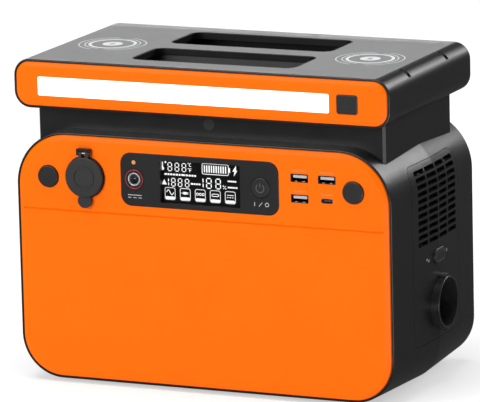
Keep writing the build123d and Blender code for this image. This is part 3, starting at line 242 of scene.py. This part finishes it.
# Colour, roughness, and what differs from a plain moulding.
for name, colour, rough, extra in (
    ("shell_plastic", (0.0125, 0.0126, 0.0128), 0.31, dict(specular=0.34, grain=0.35)),
    ("orange_panel", (1.0, 0.150, 0.0), 0.32,
     dict(specular=0.09, depth=0.012, mottle=0.02, scuffs=0.06)),
    ("grey_plate", (0.185, 0.186, 0.188), 0.55,
     dict(specular=0.35, grain=0.6, depth=0.04, mottle=0.03)),
    ("tub_plastic", (0.006, 0.006, 0.0062), 0.40, dict(specular=0.25)),
    ("black_plastic", (0.009, 0.009, 0.0095), 0.36, dict(specular=0.35)),
    ("bezel_plastic", (0.019, 0.0193, 0.020), 0.34, dict(specular=0.18, depth=0.008, scuffs=0.05)),
    ("key_plastic", (0.017, 0.0172, 0.0178), 0.38, dict(specular=0.35, depth=0.015)),
    ("cover_rubber", (0.026, 0.026, 0.026), 0.52, dict(specular=0.30, grain=0.7, depth=0.05)),
    ("foot_rubber", (0.02, 0.02, 0.02), 0.75, dict(specular=0.25, grain=0.9, depth=0.08)),
    ("red_ring", (0.36, 0.025, 0.035), 0.35, dict(specular=0.3, depth=0.005)),
    ("lcd", (0.0022, 0.0022, 0.0024), 0.3, dict(specular=0.3, depth=0.002, mottle=0.02)),
    ("cell_wrap", (0.02, 0.07, 0.16), 0.3, dict(specular=0.5, depth=0.01)),
    ("holder", (0.02, 0.02, 0.02), 0.5, {}),
    ("led", (0.85, 0.78, 0.4), 0.4, dict(depth=0.01)),
    ("fan_plastic", (0.012, 0.012, 0.013), 0.42, {}),
    ("core", (0.03, 0.03, 0.032), 0.6, dict(depth=0.05)),
    ("cap_sleeve", (0.012, 0.016, 0.05), 0.3, dict(specular=0.5, depth=0.005)),
):
    M[name] = moulded(name, colour, rough, **extra)
# Colour, roughness and the direction of its brushed lines.
for name, colour, rough, stretch in (
    ("jack_metal", (0.72, 0.72, 0.73), 0.22, None),
    ("steel", (0.52, 0.52, 0.53), 0.34, (1, 1, 6)),
    ("spring_brass", (0.78, 0.58, 0.28), 0.3, None),
    ("nickel", (0.62, 0.6, 0.55), 0.35, None),
    ("copper", (0.75, 0.36, 0.2), 0.3, (1, 1, 8)),
    ("aluminium", (0.66, 0.67, 0.68), 0.38, (8, 1, 1)),
):
    M[name] = metal(name, colour, rough, stretch)

WHITE_INK = printed("white_ink", (0.52, 0.53, 0.54))
FAINT_INK = printed("faint_ink", (0.62, 0.19, 0.03))
DARK_INK = printed("dark_ink", (0.09, 0.09, 0.095))
GREY_INK = printed("grey_ink", (0.33, 0.33, 0.34))
ZONE_INK = printed("zone_ink", (0.66, 0.67, 0.68))
LCD_LIGHT = glowing("lcd_light", (0.97, 0.98, 1.0), 0.80)
LCD_DIM = glowing("lcd_dim", (0.97, 0.98, 1.0), 0.42)
FILTER = moulded("filter_mesh", (0.006, 0.006, 0.006), 0.7, 0.2, grain=0.5, depth=0.1)
TONGUE = moulded("tongue_plastic", (0.50, 0.50, 0.51), 0.4, 0.4, depth=0.005, mottle=0.03)

# Nodes whose finish differs from the rest of their slot.
SPECIAL = {
    "usb_a_sockets": metal("dark_steel", (0.10, 0.10, 0.105), 0.35),
    "dc_jack_ring": M["bezel_plastic"],
    "dc_jack": metal("jack_bore", (0.42, 0.42, 0.43), 0.5),
    # The carry bar is the tub's black plastic. Its much lighter grey here is painted light,
    # standing in for its lit front face seen down the grip wells.
    "carry_bar": moulded("bar_plastic_painted_light", (0.10, 0.10, 0.101), 0.34, 0.4),
    "mains_socket_housing": moulded("collar_plastic", (0.022, 0.022, 0.0225), 0.27, 0.5,
                                    depth=0.01),
    "neck_plugs": moulded("plug_plastic", (0.024, 0.024, 0.0245), 0.5, 0.3),
}
for part in frame["record"]["subparts"]:
    shape = NODES[part["node"]]
    if not shape.material_slots:
        shape.data.materials.append(None)
    for material_slot in shape.material_slots:
        material_slot.material = SPECIAL.get(part["node"], M[part["material_slot"]])

# ------------------------------------------------------------------ making pieces

INK = 0.05
FULL_TURN = 2 * math.pi


def new_object(name, mesh, material):
    data = bpy.data.meshes.new(name)
    mesh.to_mesh(data)
    mesh.free()
    made = bpy.data.objects.new(name, data)
    bpy.context.scene.collection.objects.link(made)
    data.materials.append(material)
    return made


def new_piece(name, mesh, material, body="case"):
    made = new_object(name, mesh, material)
    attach(made, body)
    return made


def prisms(name, outlines, place, thick, material, body="case"):
    """Thin prisms: each outline of (u, v) points in millimetres, raised by thick.

    place(u, v, w) gives the frame point, with w counted out of the surface.
    """
    mesh = bmesh.new()
    for outline in outlines:
        low = [mesh.verts.new(place(u, v, 0)) for u, v in outline]
        high = [mesh.verts.new(place(u, v, thick)) for u, v in outline]
        mesh.faces.new(low)
        mesh.faces.new(high)
        for i in range(len(outline)):
            j = (i + 1) % len(outline)
            mesh.faces.new((low[i], low[j], high[j], high[i]))
    bmesh.ops.recalc_face_normals(mesh, faces=mesh.faces)
    return new_piece(name, mesh, material, body)


def turned(name, x, z, profile, material, slot, steps=96):
    """A turned ring on the front: a closed profile of (radius, depth) points in millimetres."""
    mesh = bmesh.new()
    rows = []
    for i in range(steps):
        angle = FULL_TURN * i / steps
        rows.append([mesh.verts.new(at(x + r * math.cos(angle), y, z + r * math.sin(angle)))
                     for r, y in profile])
    count = len(profile)
    for i in range(steps):
        here, there = rows[i], rows[(i + 1) % steps]
        for j in range(count):
            k = (j + 1) % count
            mesh.faces.new((here[j], here[k], there[k], there[j]))
    bmesh.ops.recalc_face_normals(mesh, faces=mesh.faces)
    for face in mesh.faces:
        face.smooth = True
    return new_piece(name, mesh, material)


def on_front(y):
    return lambda u, v, w: at(u, y - w, v)


def on_top(z):
    return lambda u, v, w: at(u, v, z + w)


# ------------------------------------------------------------------ flat shapes


def bar(x0, x1, z0, z1):
    return [(x0, z0), (x1, z0), (x1, z1), (x0, z1)]


def disc(x, z, radius, steps=40):
    return [(x + radius * math.cos(FULL_TURN * i / steps),
             z + radius * math.sin(FULL_TURN * i / steps)) for i in range(steps)]


def arc(x, z, rx, rz, start, end, steps=24):
    """Points along an arc between two angles in degrees."""
    angles = [math.radians(start + (end - start) * i / steps) for i in range(steps + 1)]
    return [(x + rx * math.cos(angle), z + rz * math.sin(angle)) for angle in angles]


def sine(x, z, long, swing, steps):
    """Points along one full wave that starts at (x, z)."""
    return [(x + long * i / steps, z + swing * math.sin(FULL_TURN * i / steps))
            for i in range(steps + 1)]


def rounded(x0, x1, z0, z1, r, steps=6):
    points = []
    for cx, cz, start in (
        (x1 - r, z1 - r, 0), (x0 + r, z1 - r, 90), (x0 + r, z0 + r, 180), (x1 - r, z0 + r, 270),
    ):
        points += arc(cx, cz, r, r, start, start + 90, steps)
    return points


def stroke(points, width, closed=False):
    """Quads of an even width along a line of points."""
    count = len(points)
    left, right = [], []
    for i, (x, z) in enumerate(points):
        before = points[i - 1] if i or closed else points[i]
        after = points[(i + 1) % count] if i < count - 1 or closed else points[i]
        dx, dz = after[0] - before[0], after[1] - before[1]
        size = math.hypot(dx, dz) or 1.0
        nx, nz = -dz / size * width / 2, dx / size * width / 2
        left.append((x + nx, z + nz))
        right.append((x - nx, z - nz))
    last = count if closed else count - 1
    return [
        [left[i], left[(i + 1) % count], right[(i + 1) % count], right[i]] for i in range(last)
    ]


def shifted(shapes, dx, dz):
    return [[(u + dx, v + dz) for u, v in shape] for shape in shapes]


SEGMENTS = {
    "a": ((0, 1), (1, 1)), "b": ((1, 1), (1, 0.5)), "c": ((1, 0.5), (1, 0)), "d": ((0, 0), (1, 0)),
    "e": ((0, 0.5), (0, 0)), "f": ((0, 1), (0, 0.5)), "g": ((0, 0.5), (1, 0.5)),
}
LIT = {"8": "abcdefg", "1": "bc"}


def digit(figure, x, z, wide, tall, line):
    """Seven-segment figure centred on (x, z)."""
    shapes = []
    for key in LIT[figure]:
        (u0, v0), (u1, v1) = SEGMENTS[key]
        a = (x + (u0 - 0.5) * wide, z + (v0 - 0.5) * tall)
        b = (x + (u1 - 0.5) * wide, z + (v1 - 0.5) * tall)
        dx, dz = b[0] - a[0], b[1] - a[1]
        size = math.hypot(dx, dz)
        ux, uz = dx / size, dz / size
        gap, half = line * 0.45, line / 2
        ends = []
        for sign, (px, pz) in ((1, a), (-1, b)):
            tip = (px + sign * ux * gap, pz + sign * uz * gap)
            side = (px + sign * ux * (gap + half), pz + sign * uz * (gap + half))
            ends.append((tip, (side[0] - uz * half, side[1] + ux * half),
                         (side[0] + uz * half, side[1] - ux * half)))
        first, second = ends
        shapes.append([first[0], first[1], second[1], second[0], second[2], first[2]])
    return shapes


BLOCK_GAP = 0.35


def blocks(x0, x1, z, tall, pattern):
    """A row of small plain blocks where a caption would be, as wide as the pattern's shares."""
    mean = sum(pattern) / len(pattern)
    unit = (x1 - x0) / (sum(pattern) + BLOCK_GAP * (len(pattern) - 1) * mean)
    shapes, x = [], x0
    for share in pattern:
        shapes.append(bar(x, x + share * unit, z - tall / 2, z + tall / 2))
        x += (share + BLOCK_GAP * mean) * unit
    return shapes


# ------------------------------------------------------------------ display

# Drawn in millimetres from the middle of the lit field, which sits left of the window's middle.
LIT_FIELD_SHIFT = -1.6
# The display's face lies this far behind the front rim.
LCD_FACE = 2.29
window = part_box("display_window")
LCD_X = ((window[0][0] + window[1][0]) / 2 - MIDDLE_X) / MM + LIT_FIELD_SHIFT
LCD_Z = ((window[0][2] + window[1][2]) / 2 - UNDERSIDE_Z) / MM

# Top row: a thermometer, three figures, two unit signs and a line of blocks under them.
lcd = stroke([(-32.1, 10.9), (-32.1, 15.1)], 1.0) + [disc(-32.1, 9.9, 1.4), disc(-29.5, 15.0, 0.8)]
for x in (-25.8, -19.7, -13.7):
    lcd += digit("8", x, 11.5, 3.2, 6.4, 0.66)
lcd += [disc(-10.0, 15.1, 0.4)] + stroke(arc(-8.1, 13.9, 1.0, 1.2, 60, 300), 0.5)
lcd += [disc(-10.0, 10.9, 0.4)] + stroke([(-8.9, 8.3), (-8.9, 10.9), (-7.2, 10.9)], 0.5)
lcd += stroke([(-8.9, 9.6), (-7.5, 9.6)], 0.45)
lcd += blocks(-30.5, -3.5, 5.5, 1.35, (1, 0.9, 1, 0.8, 1, 0.9, 1.6, 1, 1, 0.9, 0.8))

# Middle row: a warning triangle, four figures, three larger ones and a percent sign.
lcd += [[(-33.1, -2.9), (-28.7, -2.9), (-30.9, 1.2)]]
lcd += digit("1", -28.5, -0.7, 2.6, 6.2, 0.66)
for x in (-23.1, -17.3, -11.3):
    lcd += digit("8", x, -0.7, 3.1, 6.2, 0.66)
lcd += blocks(-8.1, 0.1, -1.0, 1.3, (1.3, 0.8, 0.6, 0.6, 0.8))
lcd += digit("1", 1.1, 0.3, 2.6, 7.8, 0.78)
for x in (7.4, 15.3):
    lcd += digit("8", x, 0.3, 3.9, 7.8, 0.8)
lcd += [disc(19.7, -1.1, 0.5), disc(21.7, -3.1, 0.5)] + stroke([(19.6, -3.3), (21.8, -0.9)], 0.35)
lcd += blocks(23.5, 30.7, 3.0, 1.25, (0.7, 1, 1, 1, 0.8))
lcd += blocks(23.5, 31.7, -1.9, 1.25, (1.3, 1, 0.9, 0.9, 0.9))

# Top right: a battery of ten bars with its tip, and a lightning bolt.
lcd += stroke(rounded(1.9, 24.3, 7.5, 15.9, 1.2), 0.5, closed=True) + [bar(24.6, 25.7, 9.9, 13.5)]
lcd += [bar(3.4 + 2.0 * step, 4.4 + 2.0 * step, 8.9, 14.5) for step in range(10)]
lcd += [[(30.7, 15.7), (27.7, 11.0), (29.5, 11.0)], [(29.5, 11.0), (31.0, 11.6), (30.7, 15.7)],
        [(28.7, 7.1), (32.0, 11.8), (31.0, 11.6)], [(29.5, 11.0), (31.0, 11.6), (28.7, 7.1)]]

# Bottom row: five framed icons, each with a lit foot.
ICON_WIDTH = 9.2
ICON_LINE = 0.5
frames = []
for index, x in enumerate((-30.7, -17.7, -4.8, 8.0, 20.8)):
    end = x + ICON_WIDTH
    mid = x + ICON_WIDTH / 2
    frames += stroke(rounded(x + 0.3, end - 0.3, -14.7, -5.2, 1.5), 0.55, closed=True)
    lcd += [rounded(x + 0.7, end - 0.7, -14.3, -12.2, 0.9)]
    if index == 0:
        lcd += stroke(sine(x + 1.6, -8.9, 6.0, 1.9, 20), 0.55)
    elif index == 1:
        lcd += [bar(mid - 1.6, mid + 1.0, -9.9, -7.9), bar(mid + 1.0, mid + 2.6, -9.6, -9.1),
                bar(mid + 1.0, mid + 2.6, -8.7, -8.2)]
        lcd += stroke([(mid - 3.2, -8.9), (mid - 1.6, -8.9)], ICON_LINE)
    elif index == 2:
        for k in (-2.5, 0.0, 2.5):
            lcd += stroke(disc(mid + k, -8.9, 0.9, steps=16), ICON_LINE, closed=True)
    elif index == 3:
        lcd += stroke(rounded(mid - 2.9, mid + 2.9, -9.8, -8.0, 0.85), ICON_LINE, closed=True)
    else:
        lcd += [bar(mid - 2.8, mid + 2.8, -8.4, -7.9)]
        lcd += [bar(mid - 2.8 + 2.1 * i, mid - 1.5 + 2.1 * i, -10.2, -9.7) for i in range(3)]
prisms("lcd_symbols", shifted(lcd, LCD_X, LCD_Z), on_front(LCD_FACE), INK, LCD_LIGHT)
prisms("lcd_frames", shifted(frames, LCD_X, LCD_Z), on_front(LCD_FACE), INK, LCD_DIM)

# ------------------------------------------------------------------ bezel, power button, DC input

# Prints start this far inside the surface, so no gap shows under them.
SUNK = 0.01
BEZEL_FACE = face_of("control_bezel")

# A direct-current sign under the DC input, and on and off signs under the power button.
marks = stroke([(-62.3, 153.4), (-50.4, 153.4)], 0.5)
marks += [bar(x, x + 2.8, 151.1, 151.6) for x in (-62.3, -57.7, -53.2)]
marks += stroke([(46.2, 151.4), (46.2, 154.4)], 0.5) + stroke([(49.9, 151.3), (52.6, 154.6)], 0.4)
marks += stroke(disc(56.7, 152.9, 1.45, steps=28), 0.5, closed=True)
prisms("bezel_marks", marks, on_front(BEZEL_FACE + SUNK), INK, WHITE_INK)

POWER_X, POWER_Z = 51.3, 166.0
symbol = stroke(arc(POWER_X, POWER_Z - 0.2, 3.3, 3.3, 128, 412, 30), 0.7)
symbol += stroke([(POWER_X, POWER_Z + 0.4), (POWER_X, POWER_Z + 3.8)], 0.7)
prisms("power_symbol", symbol, on_front(face_of("power_button") + SUNK), INK, DARK_INK,
       "power_key")


def bead(radius, wide, low, high, steps=10):
    """A half-round profile that stands from depth low out to depth high."""
    points = [(radius + wide / 2, low)]
    for i in range(steps + 1):
        angle = math.pi * i / steps
        points.append((radius + wide / 2 * math.cos(angle), low - (low - high) * math.sin(angle)))
    points.append((radius - wide / 2, low))
    return points


JACK = (-56.4, 166.1)
PIN_RADIUS, PIN_BACK = 0.6, 9.0
JACK_FACE = face_of("dc_jack_ring")
turned("jack_red_ring", *JACK, bead(7.35, 0.8, JACK_FACE + 0.3, JACK_FACE - 0.2),
       M["red_ring"], "red_ring")
turned("jack_lip", *JACK, bead(4.85, 0.85, BEZEL_FACE - 0.5, BEZEL_FACE - 1.0),
       metal("jack_lip", (0.66, 0.66, 0.67), 0.55), "jack_metal")
turned("jack_pin", *JACK,
       [(0.05, BEZEL_FACE + 0.6), (0.45, BEZEL_FACE + 0.8), (PIN_RADIUS, BEZEL_FACE + 1.2),
        (PIN_RADIUS, BEZEL_FACE + PIN_BACK), (0.05, BEZEL_FACE + PIN_BACK)],
       M["jack_metal"], "jack_metal", steps=32)

# ------------------------------------------------------------------ charging zones

ZONE_X, ZONE_Y = 111.2, 79.6
RING_RADIUS, RING_WIDTH = 18.2, 2.5
DISC_RADIUS = 8.2
# Radius, and how far each half of the broken ring reaches from its middle, in degrees.
BROKEN_RINGS = ((22.2, 84), (27.0, 76))
BROKEN_WIDTH = 0.8
ZONE_SUNK = 0.03
on_plate = on_top((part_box("top_plate")[1][2] - UNDERSIDE_Z) / MM - ZONE_SUNK)
for side, label in ((-1, "left"), (1, "right")):
    x, y = side * ZONE_X, ZONE_Y
    broken = []
    for radius, reach in BROKEN_RINGS:
        for middle in (0, 180):
            half_ring = arc(x, y, radius, radius, middle - reach, middle + reach, 36)
            broken += stroke(half_ring, BROKEN_WIDTH)
    bolt = [[(x + 1.5, y + 6.4), (x - 3.0, y - 1.0), (x - 0.4, y - 0.9)],
            [(x - 1.5, y - 6.4), (x + 3.0, y + 1.0), (x + 0.4, y + 0.9)],
            [(x - 0.6, y + 3.2), (x - 1.5, y - 0.95), (x + 0.6, y - 3.2), (x + 1.5, y + 0.95)]]
    whole = stroke(disc(x, y, RING_RADIUS, steps=72), RING_WIDTH, closed=True)
    for name, shapes, thick, ink in (
        ("ring", whole, 0.04, ZONE_INK),
        ("arcs", broken, 0.04, ZONE_INK),
        ("disc", [disc(x, y, DISC_RADIUS, steps=48)], 0.037, ZONE_INK),
        ("bolt", bolt, 0.045, GREY_INK),
    ):
        prisms(f"zone_{label}_{name}", shapes, on_plate, thick, ink)

# ------------------------------------------------------------------ USB sockets

PANEL_FACE = -1.8
TONGUE_HALF = 5.75
TONGUE_FRONT, TONGUE_BACK = -0.55, 11.4
TONGUE_TOP = 2.1
CONTACT_HALF, CONTACT_THICK, CONTACT_BACK = 0.45, 0.1, 7.0
SPRING_HALF, SPRING_BACK, SPRING_LONG = 1.0, 2.4, 3.3
# Lowest and highest edge of the bottom and the top springs, from the socket's middle.
SPRING_GAPS = ((-2.62, -2.25), (2.3, 2.62))
for index, (x, z) in enumerate(((84.2, 175.7), (107.2, 175.6), (84.2, 159.4)), start=1):
    underside = z - 0.05
    tongue = prisms(
        f"usb_tongue_{index}",
        [rounded(x - TONGUE_HALF, x + TONGUE_HALF, underside, z + TONGUE_TOP, 0.35, 4)],
        on_front(TONGUE_BACK), TONGUE_BACK - TONGUE_FRONT, TONGUE,
    )
    edge = tongue.modifiers.new("edge", "BEVEL")
    edge.width = 0.15 * MM
    edge.segments = 2
    contacts = []
    for middle in (x - 3.5, x - 1.0, x + 1.0, x + 3.5):
        contacts.append(bar(middle - CONTACT_HALF, middle + CONTACT_HALF,
                            underside - CONTACT_THICK, underside))
    prisms(f"usb_contacts_{index}", contacts, on_front(CONTACT_BACK), CONTACT_BACK,
           M["spring_brass"])
    springs = []
    for middle in (x - 3.2, x + 3.2):
        for low, high in SPRING_GAPS:
            springs.append(bar(middle - SPRING_HALF, middle + SPRING_HALF, z + low, z + high))
    prisms(f"usb_springs_{index}", springs, on_front(SPRING_BACK), SPRING_LONG, M["jack_metal"])

# Faint blocks over each port: their middle and width.
captions = []
for x, z, wide in (
    (84.2, 181.4, 12.0), (107.2, 181.3, 12.0), (84.2, 165.1, 10.0), (107.1, 164.0, 9.0),
):
    captions += blocks(x - wide / 2, x + wide / 2, z, 1.2, (1, 0.8, 1, 1, 0.7))
prisms("port_marks", captions, on_front(PANEL_FACE + SUNK), 0.04, FAINT_INK)

# ------------------------------------------------------------------ side details

# The side bulges from both rims to the parting line, and rolls over into the top.
PARTING = 87.0
DEPTH = 170.0
HALF_WIDTH, SIDE_BULGE = 160.0, 3.0
TOP_HEIGHT, TOP_BULGE = 199.3, 1.2
CORNER = 44.0


def side_point(y, climb, out=0.0):
    """A point on the right side by its depth and its climb up the side and over the top corner."""
    share = y / PARTING if y <= PARTING else (DEPTH - y) / (DEPTH - PARTING)
    half = HALF_WIDTH + SIDE_BULGE * share
    start = TOP_HEIGHT + TOP_BULGE * share - CORNER
    if climb <= start:
        return half + out, climb
    turn = (climb - start) / CORNER
    return (half - CORNER + (CORNER + out) * math.cos(turn),
            start + (CORNER + out) * math.sin(turn))


def on_side(u, v, w):
    x, z = side_point(u, v, w)
    return at(x, u, z)


beside = stroke(sine(63.6, 101.5, 6.0, 1.3, 16), 0.7)
beside += [bar(104.3, 106.9, 101.0, 101.5), bar(104.3, 106.9, 102.2, 102.7)]
prisms("switch_marks", beside, on_side, INK, GREY_INK)
outline = stroke(rounded(79.2, 96.8, 97.6, 105.4, 3.85, 10), 0.35, closed=True)
key_face = (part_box("ac_button")[1][0] - MIDDLE_X) / MM
prisms("ac_button_line", outline, lambda u, v, w: at(key_face + w - SUNK, u, v), INK, DARK_INK,
       "ac_key")

# Dust filter: a woven screen that follows the inside of each grille.
SCREEN_DEPTH = (46.5, 128.5)
SCREEN_CLIMB = (112.5, 180.0)
SCREEN_COLUMNS, SCREEN_ROWS = 40, 32
SCREEN_INSET = 3.9
WEAVE = 0.18
for sign, label in ((1, "right"), (-1, "left")):
    mesh = bmesh.new()
    grid = []
    for j in range(SCREEN_ROWS + 1):
        climb = SCREEN_CLIMB[0] + (SCREEN_CLIMB[1] - SCREEN_CLIMB[0]) * j / SCREEN_ROWS
        line = []
        for i in range(SCREEN_COLUMNS + 1):
            u = SCREEN_DEPTH[0] + (SCREEN_DEPTH[1] - SCREEN_DEPTH[0]) * i / SCREEN_COLUMNS
            weave = WEAVE if (i + j) % 2 else -WEAVE
            x, z = side_point(u, climb, weave - SCREEN_INSET)
            line.append(mesh.verts.new(at(sign * x, u, z)))
        grid.append(line)
    for j in range(SCREEN_ROWS):
        for i in range(SCREEN_COLUMNS):
            mesh.faces.new((grid[j][i], grid[j][i + 1], grid[j + 1][i + 1], grid[j + 1][i]))
    screen = new_piece(f"dust_screen_{label}", mesh, FILTER)
    wires = screen.modifiers.new("wires", "WIREFRAME")
    wires.thickness = 0.9 * MM
    wires.use_even_offset = False

# ------------------------------------------------------------------ stage, in metres

FLOOR_RADIUS = 9
FLOOR_STEPS = 96
CARD_X = (0.2, 2.2)
CARD_Y = (-1.6, -0.12)
CARD_Z = 0.002


def stage_floor():
    mesh = bmesh.new()
    centre = mesh.verts.new((0, 0, 0))
    outer = [mesh.verts.new((x, y, 0)) for x, y in disc(0, 0, FLOOR_RADIUS, FLOOR_STEPS)]
    for i in range(FLOOR_STEPS):
        mesh.faces.new((centre, outer[i], outer[(i + 1) % FLOOR_STEPS]))
    s = Shader("floor_paper")
    s.set(Roughness=0.9, Specular_IOR_Level=0.1, Emission_Color=(1, 1, 1, 1),
          Emission_Strength=0.52)
    s.feed("Base Color", s.mix(s.noise(3), (0.54, 0.54, 0.542), (0.56, 0.56, 0.56)))
    floor = new_object("floor", mesh, s.material)
    # Glossy rays miss the floor, so dark plastic stays dark beside a white sweep.
    floor.visible_glossy = False


def bounce_card():
    """A white card on the floor, seen only in the reflections of bevelled edges."""
    mesh = bmesh.new()
    mesh.faces.new([mesh.verts.new((x, y, CARD_Z)) for x, y in bar(*CARD_X, *CARD_Y)])
    s = Shader("card_paper")
    s.set(Roughness=0.9, Emission_Color=(1, 1, 1, 1))
    s.feed("Emission Strength", s.spread(s.noise(2), 2.8, 3.2))
    card = new_object("bounce_card", mesh, s.material)
    card.visible_camera = card.visible_diffuse = card.visible_shadow = False


stage_floor()
bounce_card()


def softbox(name, place, target, wide, tall, watts):
    data = bpy.data.lights.new(name, "AREA")
    data.shape = "RECTANGLE"
    data.size, data.size_y = wide, tall
    data.energy = watts
    lamp = bpy.data.objects.new(name, data)
    lamp.location = place
    lamp.rotation_euler = (Vector(target) - Vector(place)).to_track_quat("-Z", "Y").to_euler()
    bpy.context.scene.collection.objects.link(lamp)


softbox("overhead", (-0.2, -0.3, 2.2), (0, 0, 0.1), 2.0, 1.6, 42)
softbox("back_right", (1.49, 2.14, 1.47), (0.05, 0, 0.15), 1.77, 1.23, 44)
softbox("back_left", (-1.05, 2.35, 0.50), (0, 0, 0.25), 0.9, 0.8, 6)
softbox("front_fill", (-1.2, -2.8, 1.2), (0, 0, 0.12), 1.8, 1.4, 58)

WORLD_STRENGTH = 0.10
world = bpy.data.worlds.new("studio")
world.use_nodes = True
background = world.node_tree.nodes["Background"]
background.inputs["Color"].default_value = (1, 1, 1, 1)
background.inputs["Strength"].default_value = WORLD_STRENGTH
bpy.context.scene.world = world
bpy.context.scene.view_settings.view_transform = "Standard"
bpy.context.scene.view_settings.look = "None"

# ------------------------------------------------------------------ camera

AZIMUTH, ELEVATION, ROLL = math.radians(24.315), math.radians(12.074), math.radians(-1.372)
AIM = at(32.81, 0, 154.05)
DISTANCE = 3.961
LENS, SENSOR = 382.8, 36

back = Vector((math.sin(AZIMUTH) * math.cos(ELEVATION), -math.cos(AZIMUTH) * math.cos(ELEVATION),
               math.sin(ELEVATION)))
level = Vector((math.cos(AZIMUTH), math.sin(AZIMUTH), 0))
upright = back.cross(level)
right = math.cos(ROLL) * level + math.sin(ROLL) * upright
up = -math.sin(ROLL) * level + math.cos(ROLL) * upright
spot = AIM + back * DISTANCE

camera_data = bpy.data.cameras.new("camera")
camera_data.sensor_fit = "HORIZONTAL"
camera_data.sensor_width = SENSOR
camera_data.lens = LENS
camera_data.clip_start, camera_data.clip_end = 0.1, 40
camera = bpy.data.objects.new("camera", camera_data)
bpy.context.scene.collection.objects.link(camera)
camera.matrix_world = Matrix((
    (right.x, up.x, back.x, spot.x),
    (right.y, up.y, back.y, spot.y),
    (right.z, up.z, back.z, spot.z),
    (0, 0, 0, 1),
))
bpy.context.scene.camera = camera
